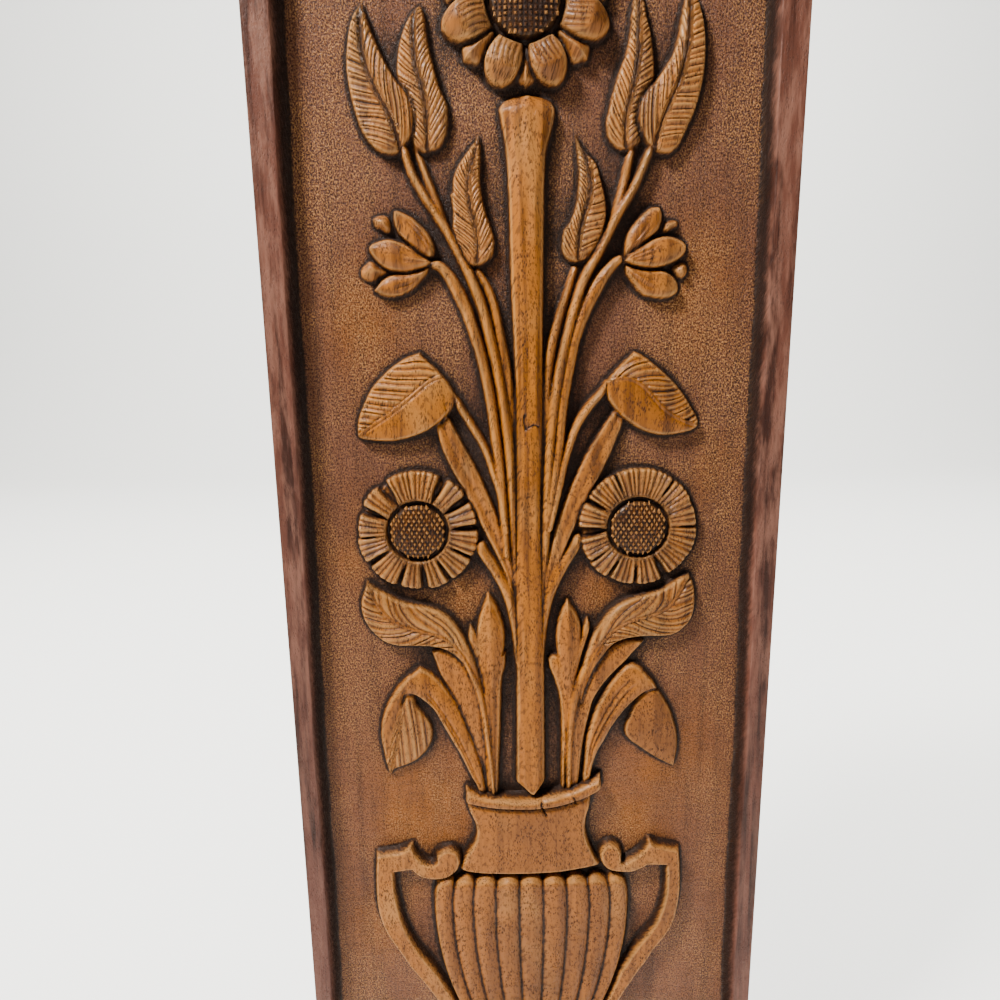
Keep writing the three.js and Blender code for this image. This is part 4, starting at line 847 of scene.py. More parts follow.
def carveAll():
    carveStems()
    carveLowBlades()
    carveBuds()
    carveCurledLeaves()
    carveMiddleStem()
    carveLeaves()
    carveLilies()
    for i, flower in enumerate(daisies["petals"]):
        carveDaisy(flower, 4 + i)
    carveSunflower()
    carveUrn()
    borderMask = carveBorder()
    roughenGround(borderMask)
    wearFace()
    return borderMask


borderMask = carveAll()
print("stage: relief carved")


# colours are given as they look on a screen, 0 to 255
def linear(colour):
    shares = [part / 255 for part in colour]
    curved = [((share + 0.055) / 1.055) ** 2.4 if share > 0.04045 else share / 12.92 for share in shares]
    return curved + [1.0]


# short ways to build shader nodes
class NodeBench:
    def __init__(self, name):
        self.material = bpy.data.materials.new(name)
        self.material.use_nodes = True
        self.tree = self.material.node_tree
        self.tree.nodes.clear()

    def add(self, kind, **settings):
        node = self.tree.nodes.new(kind)
        for key, value in settings.items():
            setattr(node, key, value)
        return node

    def feed(self, socket, value):
        if hasattr(value, "links"):
            self.tree.links.new(value, socket)
        else:
            socket.default_value = value

    def math(self, operation, a, b=0.0):
        node = self.add("ShaderNodeMath", operation=operation)
        self.feed(node.inputs[0], a)
        self.feed(node.inputs[1], b)
        return node.outputs[0]

    def mix(self, share, a, b):
        node = self.add("ShaderNodeMix", data_type="RGBA")
        self.feed(node.inputs[0], share)
        self.feed(node.inputs[6], a)
        self.feed(node.inputs[7], b)
        return node.outputs[2]

    def ramp(self, value, low, high, start=0.0, end=1.0):
        node = self.add("ShaderNodeMapRange", interpolation_type="SMOOTHSTEP")
        for socket, number in zip(node.inputs, (value, low, high, start, end)):
            self.feed(socket, number)
        return node.outputs[0]

    def attribute(self, name):
        return self.add("ShaderNodeAttribute", attribute_name=name).outputs["Fac"]

    # the board laid flat, stretched, so that a pattern can run with the grain; depth leans both ways
    def flat(self, place, acrossScale, upScale):
        parts = []
        lean = min(0.7 * acrossScale, 2 * upScale)
        for direction in ((acrossScale, 0.7 * acrossScale, 0.0), (0.0, lean, upScale)):
            dot = self.add("ShaderNodeVectorMath", operation="DOT_PRODUCT")
            self.feed(dot.inputs[0], place)
            self.feed(dot.inputs[1], direction)
            parts.append(dot.outputs["Value"])
        joined = self.add("ShaderNodeCombineXYZ")
        self.feed(joined.inputs[0], parts[0])
        self.feed(joined.inputs[1], parts[1])
        return joined.outputs[0]

    def noise(self, vector, detail=2.0, roughness=0.5, distortion=0.0):
        node = self.add("ShaderNodeTexNoise", noise_dimensions="2D")
        values = {"Vector": vector, "Scale": 1.0, "Detail": detail, "Roughness": roughness,
                  "Distortion": distortion}
        for name, value in values.items():
            self.feed(node.inputs[name], value)
        return node.outputs["Fac"]

    def cells(self, vector):
        node = self.add("ShaderNodeTexVoronoi", voronoi_dimensions="2D")
        self.feed(node.inputs["Vector"], vector)
        self.feed(node.inputs["Scale"], 1.0)
        return node.outputs["Distance"]


# the whole board's finish, with painted shade in the cuts and hollows and painted highlights on edges and
# crests; scales are repeats in a metre, across and up the board
def stainedWoodAndShading():
    look = {
        "golden": (154, 88, 8), "pale": (150, 93, 45), "wornAndHighlight": (204, 150, 88), "streakAndShade": (70, 37, 12),
        "groundRed": (106, 64, 45), "groundGold": (136, 76, 18), "groundPit": (42, 22, 13),
        "fleck": (164, 114, 66), "stainAndShade": (28, 16, 11), "pore": (26, 14, 8),
        "borderFace": (92, 54, 42), "borderPale": (134, 92, 76), "borderStreak": (48, 25, 18),
        "grainAcross": 190.0, "grainUp": 9.0, "poresAcross": 1250.0, "poresUp": 420.0,
        "punchAcross": 1750.0, "punchUp": 1350.0, "strokesAcross": 110.0, "strokesUp": 520.0,
        "bumpDepth": 0.0005, "bumpStrength": 0.8,
    }
    bench = NodeBench("carved_wood_and_painted_light")
    place = bench.add("ShaderNodeTexCoord").outputs["Object"]
    form, borderPart = bench.attribute("form"), bench.attribute("border")
    # for the long grain, depth into the board only counts on its outer sides
    split = bench.add("ShaderNodeSeparateXYZ")
    bench.feed(split.inputs[0], place)
    join = bench.add("ShaderNodeCombineXYZ")
    bench.feed(join.inputs[0], split.outputs[0])
    bench.feed(join.inputs[1], bench.math("MULTIPLY", split.outputs[1], bench.attribute("outside")))
    bench.feed(join.inputs[2], split.outputs[2])
    grainPlace = join.outputs[0]
    raisedPart = bench.math("MAXIMUM", form, borderPart)

    # slow changes of colour, streaks of grain, dark pores and specks
    cloud = bench.noise(bench.flat(place, 30.0, 18.0), 3.0, 0.6)
    grain = bench.noise(bench.flat(grainPlace, look["grainAcross"], look["grainUp"]), 4.0, 0.65, 0.3)
    speck = bench.noise(bench.flat(place, 800.0, 420.0), 2.0, 0.6)
    pores = bench.cells(bench.flat(place, look["poresAcross"], look["poresUp"]))
    poreSize = bench.ramp(bench.noise(bench.flat(place, 160.0, 110.0), 2.0), 0.35, 0.65, 0.03, 0.3)
    poreMark = bench.ramp(bench.math("DIVIDE", pores, poreSize), 1.0, 0.55)

    # the punch roughened the lowered ground: light grains between dark dents
    grains = bench.noise(bench.flat(place, look["punchAcross"], look["punchUp"]), 2.0, 0.6, 0.4)
    smooth = bench.attribute("smooth")
    strokes = bench.noise(bench.flat(grainPlace, look["strokesAcross"], look["strokesUp"]), 2.0, 0.55, 0.5)
    free = bench.math("SUBTRACT", 1.0, raisedPart)
    matted = bench.math("MULTIPLY", free, bench.ramp(smooth, 0.0, 1.0, 1.0, 0.35))

    # fine ribs of leaves and petals, counted along them by the carving
    turns = bench.math("MULTIPLY", bench.attribute("ribCount"), math.pi)
    wave = bench.math("ABSOLUTE", bench.math("SINE", turns))
    ribHeld = bench.attribute("ribHold")
    groove = bench.math("MULTIPLY", bench.ramp(wave, 0.5, 0.05), ribHeld)
    crest = bench.math("MULTIPLY", bench.ramp(wave, 0.62, 1.0), ribHeld)

    raised = bench.mix(bench.attribute("warmth"), linear(look["pale"]), linear(look["golden"]))
    grainShare = bench.ramp(grain, 0.44, 0.66, 0.0, bench.ramp(smooth, 0.0, 1.0, 0.72, 0.4))
    raised = bench.mix(grainShare, raised, linear(look["streakAndShade"]))
    raised = bench.mix(bench.ramp(cloud, 0.5, 0.8, 0.0, 0.3), raised, linear(look["wornAndHighlight"]))
    raised = bench.mix(bench.ramp(speck, 0.5, 0.68, 0.0, 0.6), raised, linear(look["streakAndShade"]))
    # rib crests painted paler: partly wear, partly painted highlight
    raised = bench.mix(bench.math("MULTIPLY", crest, 0.45), raised, linear(look["wornAndHighlight"]))
    # darker with age, and with painted shade on the forms away from the light
    raised = bench.mix(bench.attribute("agedAndShaded"), raised, linear(look["streakAndShade"]))
    lowered = bench.mix(bench.attribute("goldenGround"), linear(look["groundRed"]), linear(look["groundGold"]))
    lowered = bench.mix(bench.ramp(grain, 0.4, 0.75, 0.0, 0.45), lowered, linear(look["groundPit"]))
    pitShare = bench.ramp(grains, 0.52, 0.32, 0.0, bench.ramp(smooth, 0.0, 1.0, 0.85, 0.65))
    lowered = bench.mix(pitShare, lowered, linear(look["groundPit"]))
    strokeShare = bench.ramp(strokes, 0.5, 0.34)
    strokeShare = bench.math("MULTIPLY", strokeShare, bench.ramp(smooth, 0.0, 1.0, 0.1, 0.22))
    lowered = bench.mix(strokeShare, lowered, linear(look["groundPit"]))
    fleckShare = bench.ramp(cloud, 0.34, 0.62, 0.3, 1.0)
    fleckShare = bench.math("MULTIPLY", fleckShare, bench.ramp(smooth, 0.0, 1.0, 1.0, 0.8))
    lowered = bench.mix(bench.math("MULTIPLY", bench.ramp(grains, 0.46, 0.66), fleckShare), lowered,
                        linear(look["fleck"]))
    streaks = bench.ramp(grain, 0.36, 0.64)
    face = bench.mix(streaks, linear(look["borderFace"]), linear(look["borderStreak"]))
    # paler streaks on the border, more of them towards the top
    rubs = bench.noise(bench.flat(grainPlace, 210.0, 34.0), 4.0, 0.65)
    borderPaleShare = bench.math("MULTIPLY", bench.ramp(rubs, 0.38, 0.7), bench.ramp(smooth, 0.0, 0.8, 0.7, 0.3))
    face = bench.mix(borderPaleShare, face, linear(look["borderPale"]))
    colour = bench.mix(form, lowered, raised)
    colour = bench.mix(bench.ramp(borderPart, 0.05, 0.4), colour, face)
    # edges painted paler: partly wear, partly painted highlight
    edgeShare = bench.ramp(bench.attribute("edge"), 0.15, 1.0, 0.0, 0.34)
    colour = bench.mix(edgeShare, colour, linear(look["wornAndHighlight"]))
    # the cuts, hollows and the ground round the forms are painted dark with stain and painted shade; the rib
    # grooves hold dark patina
    dark = bench.math("ADD", bench.attribute("stainAndShade"), bench.ramp(speck, 0.3, 0.7, -0.15, 0.15))
    dark = bench.math("MAXIMUM", dark, bench.math("MULTIPLY", groove, 0.85))
    colour = bench.mix(bench.ramp(dark, 0.0, 1.0, 0.0, 0.95), colour, linear(look["stainAndShade"]))
    colour = bench.mix(bench.math("MULTIPLY", poreMark, bench.ramp(form, 0.0, 1.0, 0.15, 0.7)), colour,
                       linear(look["pore"]))

    shine = bench.ramp(speck, 0.3, 0.7, 0.36, 0.56)
    shine = bench.math("ADD", shine, bench.math("MULTIPLY", poreMark, 0.25))
    bumpHeight = bench.math("MULTIPLY", bench.ramp(grains, 0.3, 0.7), bench.math("MULTIPLY", matted, 0.8))
    bumpHeight = bench.math("ADD", bumpHeight, bench.math("MULTIPLY", speck, 0.35))
    strokeRise = bench.math("MULTIPLY", strokes, bench.math("MULTIPLY", matted, smooth))
    bumpHeight = bench.math("ADD", bumpHeight, strokeRise)
    ribRise = bench.math("MULTIPLY", bench.math("MULTIPLY", wave, ribHeld), 0.9)
    bumpHeight = bench.math("ADD", bumpHeight, ribRise)
    bumpHeight = bench.math("SUBTRACT", bumpHeight, bench.math("MULTIPLY", poreMark, 0.3))
    bump = bench.add("ShaderNodeBump")
    bench.feed(bump.inputs["Distance"], look["bumpDepth"])
    bench.feed(bump.inputs["Strength"], look["bumpStrength"])
    bench.feed(bump.inputs["Height"], bumpHeight)

    shader = bench.add("ShaderNodeBsdfPrincipled")
    bench.feed(shader.inputs["Base Color"], colour)
    bench.feed(shader.inputs["Roughness"], shine)
    bench.feed(shader.inputs["Normal"], bump.outputs[0])
    shader.inputs["Specular IOR Level"].default_value = 0.2
    out = bench.add("ShaderNodeOutputMaterial")
    bench.feed(out.inputs["Surface"], shader.outputs[0])
    return bench.material


wood = stainedWoodAndShading()
print("stage: finish made")


# spreads values over a distance in millimetres
def blurred(values, reach):
    steps = max(1, int(round(reach / surface["pitch"])))
    for axis in (0, 1):
        for _ in range(2):
            margins = [(steps + 1, steps) if i == axis else (0, 0) for i in (0, 1)]
            padded = np.pad(values, margins, mode="edge")
            total = np.moveaxis(np.cumsum(padded, axis=axis), axis, 0)
            mean = (total[2 * steps + 1:] - total[:-2 * steps - 1]) / (2 * steps + 1)
            values = np.moveaxis(mean, 0, axis)
    return values


# values of the carved face at any places on it
def readAt(values, x, z):
    column = np.clip((x - acrossMm[0]) / surface["pitch"], 0, values.shape[1] - 1.001)
    row = np.clip((z - upMm[0]) / surface["pitch"], 0, values.shape[0] - 1.001)
    i, j = row.astype(int), column.astype(int)
    u, v = column - j, row - i
    return ((values[i, j] * (1 - u) + values[i, j + 1] * u) * (1 - v)
            + (values[i + 1, j] * (1 - u) + values[i + 1, j + 1] * u) * v)


# how the board becomes a mesh: fine marks count for more than tall plain walls when it is thinned
meshing = {"triangles": 191000, "edgeRound": 0.8, "seamAngle": 22, "wallWeight": 0.35, "markWeight": 2.2}
mm = (boxHigh.x - boxLow.x) / panel["width"]          # one drawing millimetre in metres
middle = (boxLow + boxHigh) / 2
ground = panel["thickness"] - panel["relief"]


def boardMesh(rise):
    rowCount, columnCount = rise.shape
    gridX, gridZ = np.meshgrid(acrossMm, upMm)
    front = np.stack([gridX, -(ground + rise), gridZ], 2).reshape(-1, 3)
    index = np.arange(rowCount * columnCount).reshape(rowCount, columnCount)
    a, b = index[:-1, :-1].ravel(), index[:-1, 1:].ravel()
    c, d = index[1:, 1:].ravel(), index[1:, :-1].ravel()
    faces = [np.stack([a, b, c], 1), np.stack([a, c, d], 1)]
    # down the sides, round the back edge and across the back
    rim = np.concatenate([index[0, :-1], index[:-1, -1], index[-1, :0:-1], index[:0:-1, 0]])
    places = front[rim]
    bevel = meshing["edgeRound"]
    inset = places * [1 - 2 * bevel / panel["width"], 1, 1 - 2 * bevel / panel["height"]]
    points = [front]
    lower = rim
    for loop in (places * [1, 0, 1] - [0, bevel, 0], inset * [1, 0, 1]):
        upper = np.arange(len(rim)) + sum(len(p) for p in points)
        points.append(loop)
        nextLower, nextUpper = np.roll(lower, -1), np.roll(upper, -1)
        faces += [np.stack([lower, nextUpper, nextLower], 1), np.stack([lower, upper, nextUpper], 1)]
        lower = upper
    hub = sum(len(p) for p in points)
    points.append(np.zeros((1, 3)))
    faces.append(np.stack([np.full(len(rim), hub), np.roll(lower, -1), lower], 1))
    points = np.concatenate(points) * mm + [middle.x, boxHigh.y, middle.z]
    faces = np.concatenate(faces)
    mesh = bpy.data.meshes.new("carvedPlaque")
    mesh.vertices.add(len(points))
    mesh.vertices.foreach_set("co", points.astype(np.float32).ravel())
    mesh.loops.add(faces.size)
    mesh.loops.foreach_set("vertex_index", faces.astype(np.int32).ravel())
    mesh.polygons.add(len(faces))
    mesh.polygons.foreach_set("loop_start", np.arange(0, faces.size, 3, dtype=np.int32))
    mesh.update(calc_edges=True)
    mesh.validate()
    return mesh


def plainMesh(piece):
    return bpy.data.meshes.new_from_object(piece.evaluated_get(bpy.context.evaluated_depsgraph_get()))


# heights that only steer the thinning
def weighted():
    marks = np.clip(height - blurred(height, 1.4), -0.45, 0.45)
    return meshing["wallWeight"] * height + meshing["markWeight"] * marks + 0.12 * patchy(3.0, 31)


# back to the true carved heights
def settleOnCarving(mesh):
    co = np.zeros(len(mesh.vertices) * 3)
    mesh.vertices.foreach_get("co", co)
    co = (co.reshape(-1, 3) - [middle.x, boxHigh.y, middle.z]) / mm
    onFace = co[:, 1] < -(ground - 4)
    co[onFace, 1] = -(ground + readAt(height, co[onFace, 0], co[onFace, 2]))
    mesh.vertices.foreach_set("co", (co * mm + [middle.x, boxHigh.y, middle.z]).astype(np.float32).ravel())
    mesh.update()


plaque = bpy.data.objects.new("carvedPlaque", boardMesh(weighted()))
bpy.context.scene.collection.objects.link(plaque)
fewer = plaque.modifiers.new("thin out", "DECIMATE")
fewer.ratio = meshing["triangles"] / len(plaque.data.polygons)
thinned = plainMesh(plaque)
plaque.modifiers.remove(fewer)
plaque.data = thinned
settleOnCarving(thinned)
print("stage: board meshed,", len(plaque.data.polygons), "faces")


# seeds of the three flower heads; widths and pitches in millimetres
seedHeads = [
    {"name": "daisySeedsLeft", "centre": daisies["petals"][0]["centre"], "radius": daisies["head"],
     "dome": (2.8, 5.0), "pitch": (2.05, 1.62), "shift": 1.0, "seed": (0.98, 1.55), "proud": 1.0, "turn": 0.0,
     "start": 3},
    {"name": "daisySeedsRight", "centre": daisies["petals"][1]["centre"], "radius": daisies["head"],
     "dome": (2.8, 5.0), "pitch": (2.05, 1.62), "shift": 1.0, "seed": (0.98, 1.55), "proud": 1.0, "turn": 0.0,
     "start": 8},
    {"name": "sunflowerSeeds", "centre": sunflower["centre"], "radius": sunflower["head"],
     "dome": (4.8, 6.0), "pitch": (1.8, 1.8), "shift": 0.0, "seed": (1.16, 1.16), "proud": 0.7, "turn": 45.0,
     "start": 5},
]


# a lattice of little pyramids on a dome, in rows that may be shifted, cut to a circle
def seedTree():
    tree = bpy.data.node_groups.new("seedHead", "GeometryNodeTree")
    tree.interface.new_socket("Geometry", in_out="OUTPUT", socket_type="NodeSocketGeometry")
    tree.interface.new_socket("Geometry", in_out="INPUT", socket_type="NodeSocketGeometry")
    for name in ("Radius", "Dome Edge", "Dome Top", "Pitch Across", "Pitch Up", "Row Shift", "Seed Width",
                 "Seed Height", "Proud", "Turn"):
        tree.interface.new_socket(name, in_out="INPUT", socket_type="NodeSocketFloat")
    tree.interface.new_socket("Random Start", in_out="INPUT", socket_type="NodeSocketInt")
    tree.interface.new_socket("Centre", in_out="INPUT", socket_type="NodeSocketVector")
    tree.interface.new_socket("Material", in_out="INPUT", socket_type="NodeSocketMaterial")
    given = tree.nodes.new("NodeGroupInput").outputs

    def node(kind, settings=None, **sockets):
        made = tree.nodes.new(kind)
        for key, value in (settings or {}).items():
            setattr(made, key, value)
        for key, value in sockets.items():
            socket = made.inputs[key.replace("_", " ")]
            if hasattr(value, "links"):
                tree.links.new(value, socket)
            else:
                socket.default_value = value
        return made

    def calc(operation, a, b=0.0):
        made = tree.nodes.new("ShaderNodeMath")
        made.operation = operation
        for socket, value in zip(made.inputs, (a, b)):
            if hasattr(value, "links"):
                tree.links.new(value, socket)
            else:
                socket.default_value = value
        return made.outputs[0]

    reach = calc("SUBTRACT", given["Radius"], calc("MULTIPLY", given["Seed Width"], 0.45))
    counts = []
    for pitch in (given["Pitch Across"], given["Pitch Up"]):
        steps = calc("ADD", calc("CEIL", calc("DIVIDE", given["Radius"], pitch)), 1.0)
        counts.append(calc("MULTIPLY", steps, 2.0))
    grid = node("GeometryNodeMeshGrid",
                Size_X=calc("MULTIPLY", counts[0], given["Pitch Across"]),
                Size_Y=calc("MULTIPLY", counts[1], given["Pitch Up"]),
                Vertices_X=calc("ADD", counts[0], 1.0),
                Vertices_Y=calc("ADD", counts[1], 1.0)).outputs["Mesh"]
    split = node("ShaderNodeSeparateXYZ", Vector=node("GeometryNodeInputPosition").outputs[0]).outputs
    row = calc("ROUND", calc("DIVIDE", split["Y"], given["Pitch Up"]))
    odd = calc("ABSOLUTE", calc("MODULO", row, 2.0))
    across = calc("ADD", split["X"], calc("MULTIPLY", odd, given["Row Shift"]))
    squares = calc("ADD", calc("MULTIPLY", across, across), calc("MULTIPLY", split["Y"], split["Y"]))
    away = calc("SQRT", squares)
    share = calc("MINIMUM", calc("DIVIDE", away, given["Radius"]), 1.0)
    dome = calc("SQRT", calc("SUBTRACT", 1.0, calc("MULTIPLY", share, share)))
    rise = calc("MULTIPLY", dome, calc("SUBTRACT", given["Dome Top"], given["Dome Edge"]))
    lift = calc("ADD", rise, given["Dome Edge"])
    place = node("ShaderNodeCombineXYZ", X=across, Y=split["Y"], Z=lift).outputs[0]
    points = node("GeometryNodeSetPosition", Geometry=grid, Position=place).outputs[0]
    kept = node("ShaderNodeSeparateXYZ", Vector=node("GeometryNodeInputPosition").outputs[0]).outputs
    far = calc("ADD", calc("MULTIPLY", kept["X"], kept["X"]), calc("MULTIPLY", kept["Y"], kept["Y"]))
    outside = node("FunctionNodeCompare", A=far, B=calc("MULTIPLY", reach, reach)).outputs[0]
    points = node("GeometryNodeDeleteGeometry", Geometry=points, Selection=outside).outputs[0]

    cone = node("GeometryNodeMeshCone", Vertices=4, Radius_Top=0.34, Radius_Bottom=1.0, Depth=1.0)
    turned = node("ShaderNodeCombineXYZ", Z=calc("RADIANS", given["Turn"])).outputs[0]
    sunk = node("GeometryNodeTransform", Geometry=cone.outputs["Mesh"], Translation=(0.0, 0.0, -0.35),
                Rotation=turned).outputs[0]
    uneven = node("FunctionNodeRandomValue", {"data_type": "FLOAT_VECTOR"}, Seed=given["Random Start"])
    uneven.inputs["Min"].default_value = (0.68, 0.72, 0.6)
    uneven.inputs["Max"].default_value = (1.1, 1.1, 1.15)
    size = node("ShaderNodeVectorMath", {"operation": "MULTIPLY"})
    tree.links.new(node("ShaderNodeCombineXYZ", X=given["Seed Width"], Y=given["Seed Height"],
                        Z=given["Proud"]).outputs[0], size.inputs[0])
    tree.links.new(uneven.outputs[0], size.inputs[1])
    lean = node("FunctionNodeRandomValue", {"data_type": "FLOAT_VECTOR"}, Seed=given["Random Start"])
    lean.inputs["Min"].default_value = (-0.16, -0.16, -0.12)
    lean.inputs["Max"].default_value = (0.16, 0.16, 0.12)
    seeds = node("GeometryNodeInstanceOnPoints", Points=points, Instance=sunk, Rotation=lean.outputs[0],
                 Scale=size.outputs[0]).outputs[0]
    # stand the head up on the board's face
    upright = node("GeometryNodeTransform", Geometry=seeds, Rotation=(math.pi / 2, 0.0, 0.0),
                   Translation=given["Centre"]).outputs[0]
    real = node("GeometryNodeRealizeInstances", Geometry=upright).outputs[0]
    finished = node("GeometryNodeSetMaterial", Geometry=real, Material=given["Material"]).outputs[0]
    tree.links.new(finished, tree.nodes.new("NodeGroupOutput").inputs[0])
    return tree


def growSeeds(head, tree):
    piece = bpy.data.objects.new(head["name"], bpy.data.meshes.new(head["name"]))
    bpy.context.scene.collection.objects.link(piece)
    grower = piece.modifiers.new("seeds", "NODES")
    grower.node_group = tree
    x, z = head["centre"]
    values = {
        "Radius": head["radius"] * mm, "Dome Edge": head["dome"][0] * mm, "Dome Top": head["dome"][1] * mm,
        "Pitch Across": head["pitch"][0] * mm, "Pitch Up": head["pitch"][1] * mm,
        "Row Shift": head["shift"] * mm, "Seed Width": head["seed"][0] * mm,
        "Seed Height": head["seed"][1] * mm, "Proud": head["proud"] * mm, "Turn": head["turn"],
        "Random Start": head["start"], "Material": wood,
        "Centre": (middle.x + x * mm, boxHigh.y - ground * mm, middle.z + z * mm),
    }
    for item in tree.interface.items_tree:
        if item.in_out == "INPUT" and item.name in values:
            grower[item.identifier] = values[item.name]
    mesh = plainMesh(piece)
    bpy.data.objects.remove(piece)
    return mesh


# the seeds are carved from the same board, so they join its mesh
tree = seedTree()
joined = bmesh.new()
joined.from_mesh(plaque.data)
for head in seedHeads:
    joined.from_mesh(growSeeds(head, tree))
bmesh.ops.triangulate(joined, faces=[face for face in joined.faces if len(face.verts) > 3])
joined.to_mesh(plaque.data)
joined.free()
print("stage: seeds joined,", len(plaque.data.polygons), "faces")


# places on the ground painted more golden: across, up, reach and strength
goldenPatches = [(-46, -92, 22, 1.0), (50, -88, 20, 0.85), (30, 8, 10, 0.8), (-28, 6, 12, 0.7),
                 (-62, 118, 14, 0.9), (64, 130, 15, 0.8), (-72, -150, 12, 0.5), (70, -60, 14, 0.4),
                 (-16, 150, 12, 0.3), (-72, 30, 12, 0.5), (74, 60, 10, 0.4), (0, -262, 30, 0.5)]

# carved parts painted darker: partly with age, partly painted shade, most on the right-hand forms that face
# away from the light
agedAndShadedPlaces = [(-45.5, 37.5, 22, 0.52), (44.8, 37.8, 22, 0.58), (49.9, 86, 17, 0.42), (0, 231.7, 21, 0.78),
              (52, -50, 15, 0.5), (-52, -51, 15, 0.26), (2, -100, 22, 0.36), (62, -135, 20, 0.42),
              (-46, 8, 20, 0.3), (48, 5, 20, 0.3), (4, -170, 42, 0.46), (38, 165, 20, 0.2)]


# places with their reach and strength, added up over the face
def spots(places, tall=1.0):
    gridX, gridZ = np.meshgrid(acrossMm, upMm)
    total = sum(amount * np.exp(-((gridX - px) ** 2 + ((gridZ - pz) / tall) ** 2) / reach ** 2)
                for px, pz, reach, amount in places)
    return np.clip(total, 0, 1)


def markSurface(mesh, borderMask):
    co = np.zeros(len(mesh.vertices) * 3)
    mesh.vertices.foreach_get("co", co)
    co = (co.reshape(-1, 3) - [middle.x, boxHigh.y, middle.z]) / mm
    x, z = co[:, 0], co[:, 2]
    onFront = (co[:, 1] < -(ground - 2)).astype(float)
    proud = -co[:, 1] - ground - readAt(height, x, z)       # seeds stand above the carved face
    onSeed = (np.abs(proud) > 0.12) & (onFront > 0)
    gridZ = upMm[:, None] * np.ones((1, columns))
    # how far each place lies below its surroundings; the hollows are painted darker as shade
    hollow = (blurred(height, 0.9) - height) / 0.55
    near = blurred(np.maximum(formMask, borderMask), 2.6)
    wide = blurred(np.maximum(formMask, 0.8 * borderMask), 8.0)
    low = 1 - np.maximum(formMask, borderMask)
    cloudy = 1 + 0.35 * patchy(11.0, 41)
    # the ground near the forms is painted darker: partly antique glaze, partly painted shade at their feet, a
    # little less of it lower down
    glazeAndShadeNearForms = 0.4 * ease(0.1, 0.62, near) + 0.62 * ease(0.16, 0.62, wide)
    glazeAndShadeNearForms = low * cloudy * glazeAndShadeNearForms * (1 - 0.3 * ease(-60, -200, gridZ))
    dark = stainAndShade * 0.85 + np.clip(hollow, 0, 0.9) * 0.75 + glazeAndShadeNearForms
    goldenGround = spots(goldenPatches, 1.7) * (1 + 0.5 * patchy(12.0, 42)) + 0.1 * ease(40, -160, gridZ)
    slopeSide = borderMask * (1 - borderMask) * 4
    marks = {
        "form": readAt(formMask, x, z) * onFront,
        "border": np.where(onFront > 0, readAt(borderMask, x, z), 1),
        # paler and pinker towards the top: painted light, for how the light falls on the upper forms
        "warmth": readAt(warmth, x, z) * onFront * (1 - 0.45 * ease(70, 200, z)),
        "goldenGround": readAt(np.clip(goldenGround, 0, 1), x, z) * onFront,
        "smooth": ease(60, -120, z),
        "outside": 1 - onFront,
        "agedAndShaded": readAt(spots(agedAndShadedPlaces) * (1 + 0.4 * patchy(8.0, 43)), x, z) * onFront,
        # seed tops and the raised edges painted paler: partly wear, partly painted highlight
        "edge": np.where(onSeed, ease(0.3, 0.6, proud),
                         readAt(np.clip(-hollow - 0.12, 0, 1) * (1 - borderMask), x, z) * onFront),
        "ribCount": readAt(ribCount, x, z),
        "ribHold": readAt(ribHold, x, z) * onFront * ~onSeed,
        # the gaps between the seeds painted dark: stain and painted shade
        "stainAndShade": np.where(onSeed, 0.95 * ease(0.6, 0.15, proud),
                          readAt(np.clip(dark + 0.5 * slopeSide, 0, 1), x, z) * onFront),
    }
    for name, values in marks.items():
        layer = mesh.attributes.new(name, "FLOAT", "POINT")
        layer.data.foreach_set("value", values.astype(np.float32))


markSurface(plaque.data, borderMask)
plaque.data.materials.clear()
plaque.data.materials.append(wood)
plaque.data.polygons.foreach_set("material_index", np.zeros(len(plaque.data.polygons), np.int32))
plaque.data.polygons.foreach_set("use_smooth", np.ones(len(plaque.data.polygons), bool))
plaque.data.set_sharp_from_angle(angle=math.radians(meshing["seamAngle"]))
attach(plaque, "root")
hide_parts("carved_panel")
print("stage: surface marked")


# a pale floor that sweeps up into a pale backdrop far behind, soft light, and the photograph's view
studio = {
    "paper": (226, 228, 226), "width": 7.0, "front": 1.0, "behind": 2.0, "bend": 0.9, "top": 3.0,
    "worldLight": 0.14, "wallSeen": 3.0,
    "key": {"place": (-0.6, -0.48, 0.98), "size": (0.2, 0.18), "power": 36.0},
    "fill": {"place": (0.5, -1.2, 0.4), "size": (1.2, 1.0), "power": 0.8},
    "wash": {"place": (0.0, 0.4, 1.9), "size": (4.0, 1.2), "power": 345.0},
}


def sweepProfile():
    foot = boxLow.z
    line = [(-studio["front"], foot), (studio["behind"], foot)]
    for step in range(1, 17):
        angle = math.pi / 2 * step / 16
        line.append((studio["behind"] + studio["bend"] * math.sin(angle),
                     foot + studio["bend"] * (1 - math.cos(angle))))
    line.append((studio["behind"] + studio["bend"], foot + studio["top"]))
    return line


line = sweepProfile()
half = studio["width"] / 2
sweepMesh = bpy.data.meshes.new("paperSweep")
sweepMesh.from_pydata([(side, y, z) for y, z in line for side in (-half, half)], [],
                      [(2 * i, 2 * i + 1, 2 * i + 3, 2 * i + 2) for i in range(len(line) - 1)])
sweepMesh.polygons.foreach_set("use_smooth", [True] * len(sweepMesh.polygons))
paper = bpy.data.materials.new("palePaper")
paper.use_nodes = True
paper.node_tree.nodes["Principled BSDF"].inputs["Base Color"].default_value = linear(studio["paper"])
paper.node_tree.nodes["Principled BSDF"].inputs["Roughness"].default_value = 0.9
sweepMesh.materials.append(paper)
sweep = bpy.data.objects.new("paperSweep", sweepMesh)
bpy.context.scene.collection.objects.link(sweep)

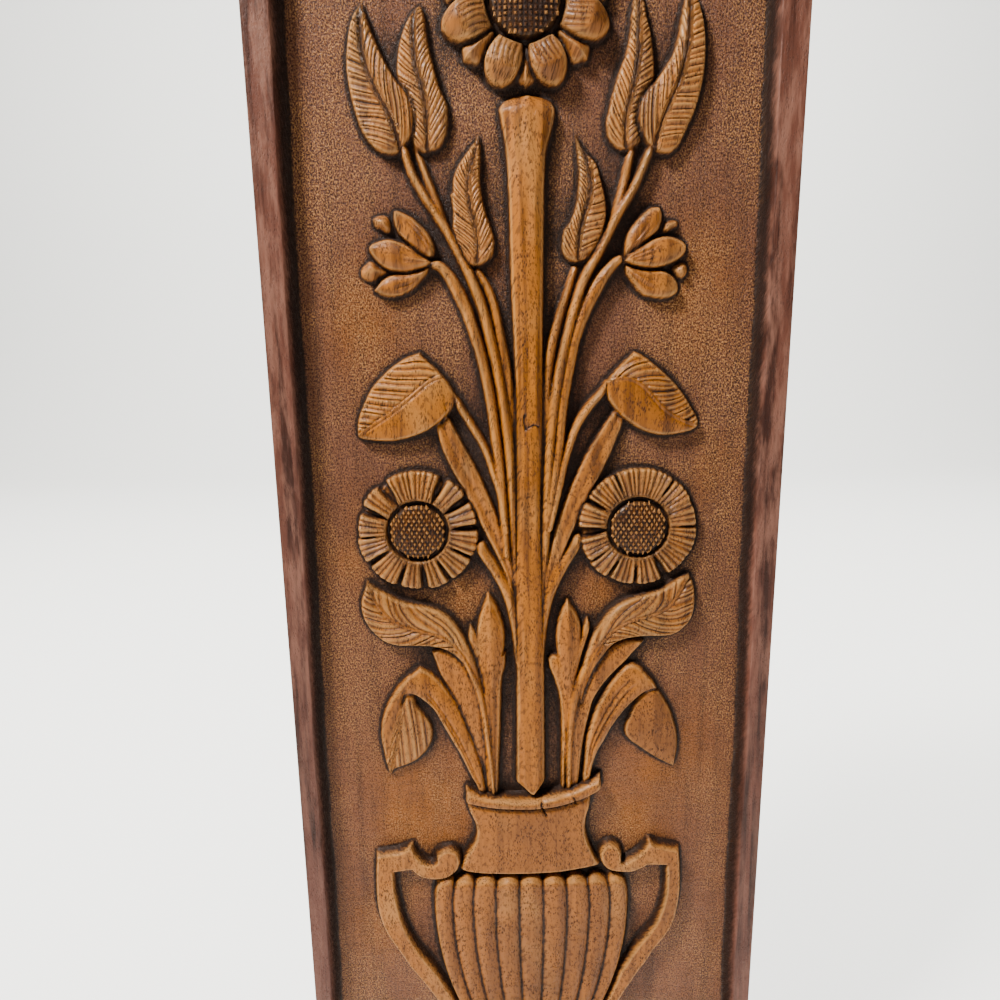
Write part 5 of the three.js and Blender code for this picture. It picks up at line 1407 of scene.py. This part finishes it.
world = bpy.data.worlds.new("softRoom")
bpy.context.scene.world = world
world.use_nodes = True
room = world.node_tree.nodes["Background"]
room.inputs["Color"].default_value = linear((240, 242, 245))
room.inputs["Strength"].default_value = studio["worldLight"]
seen = world.node_tree.nodes.new("ShaderNodeBackground")      # a pale wall past the paper's ends
seen.inputs["Color"].default_value = linear((240, 242, 243))
seen.inputs["Strength"].default_value = studio["wallSeen"]
rays = world.node_tree.nodes.new("ShaderNodeLightPath")
either = world.node_tree.nodes.new("ShaderNodeMixShader")
world.node_tree.links.new(rays.outputs["Is Camera Ray"], either.inputs[0])
world.node_tree.links.new(room.outputs[0], either.inputs[1])
world.node_tree.links.new(seen.outputs[0], either.inputs[2])
world.node_tree.links.new(either.outputs[0], world.node_tree.nodes["World Output"].inputs["Surface"])


def softLight(name, aim, colour=(255, 251, 246)):
    given = studio[name]
    light = bpy.data.lights.new(name, "AREA")
    light.shape = "RECTANGLE"
    light.size, light.size_y = given["size"]
    light.energy = given["power"]
    light.color = linear(colour)[:3]
    lamp = bpy.data.objects.new(name, light)
    lamp.location = given["place"]
    lamp.rotation_euler = (Vector(aim) - Vector(given["place"])).to_track_quat("-Z", "Y").to_euler()
    bpy.context.scene.collection.objects.link(lamp)


softLight("key", (0, 0, 0.05))
softLight("fill", (0, 0, 0))
softLight("wash", (0, 2.4, -0.3))

camera = {
    "lens": 27.0,
    "inFront": 291.65,       # mm in front of the border's face
    "right": -11.58, "above": 113.09,
    "columns": ((0.999893, 0.014642, 0.0), (-0.003025, 0.206606, -0.978420),
                (-0.014326, 0.978315, 0.206628)),
}
eye = bpy.data.cameras.new("photoCamera")
eye.lens = camera["lens"]
eye.sensor_width = 36
eye.clip_start = 0.01
eyeObject = bpy.data.objects.new("photoCamera", eye)
eyeObject.matrix_world = Matrix.Translation((
    middle.x + camera["right"] * mm,
    boxLow.y - camera["inFront"] * mm,
    middle.z + camera["above"] * mm,
)) @ Matrix(camera["columns"]).to_4x4()
bpy.context.scene.collection.objects.link(eyeObject)
bpy.context.scene.camera = eyeObject
print("stage: studio and camera")
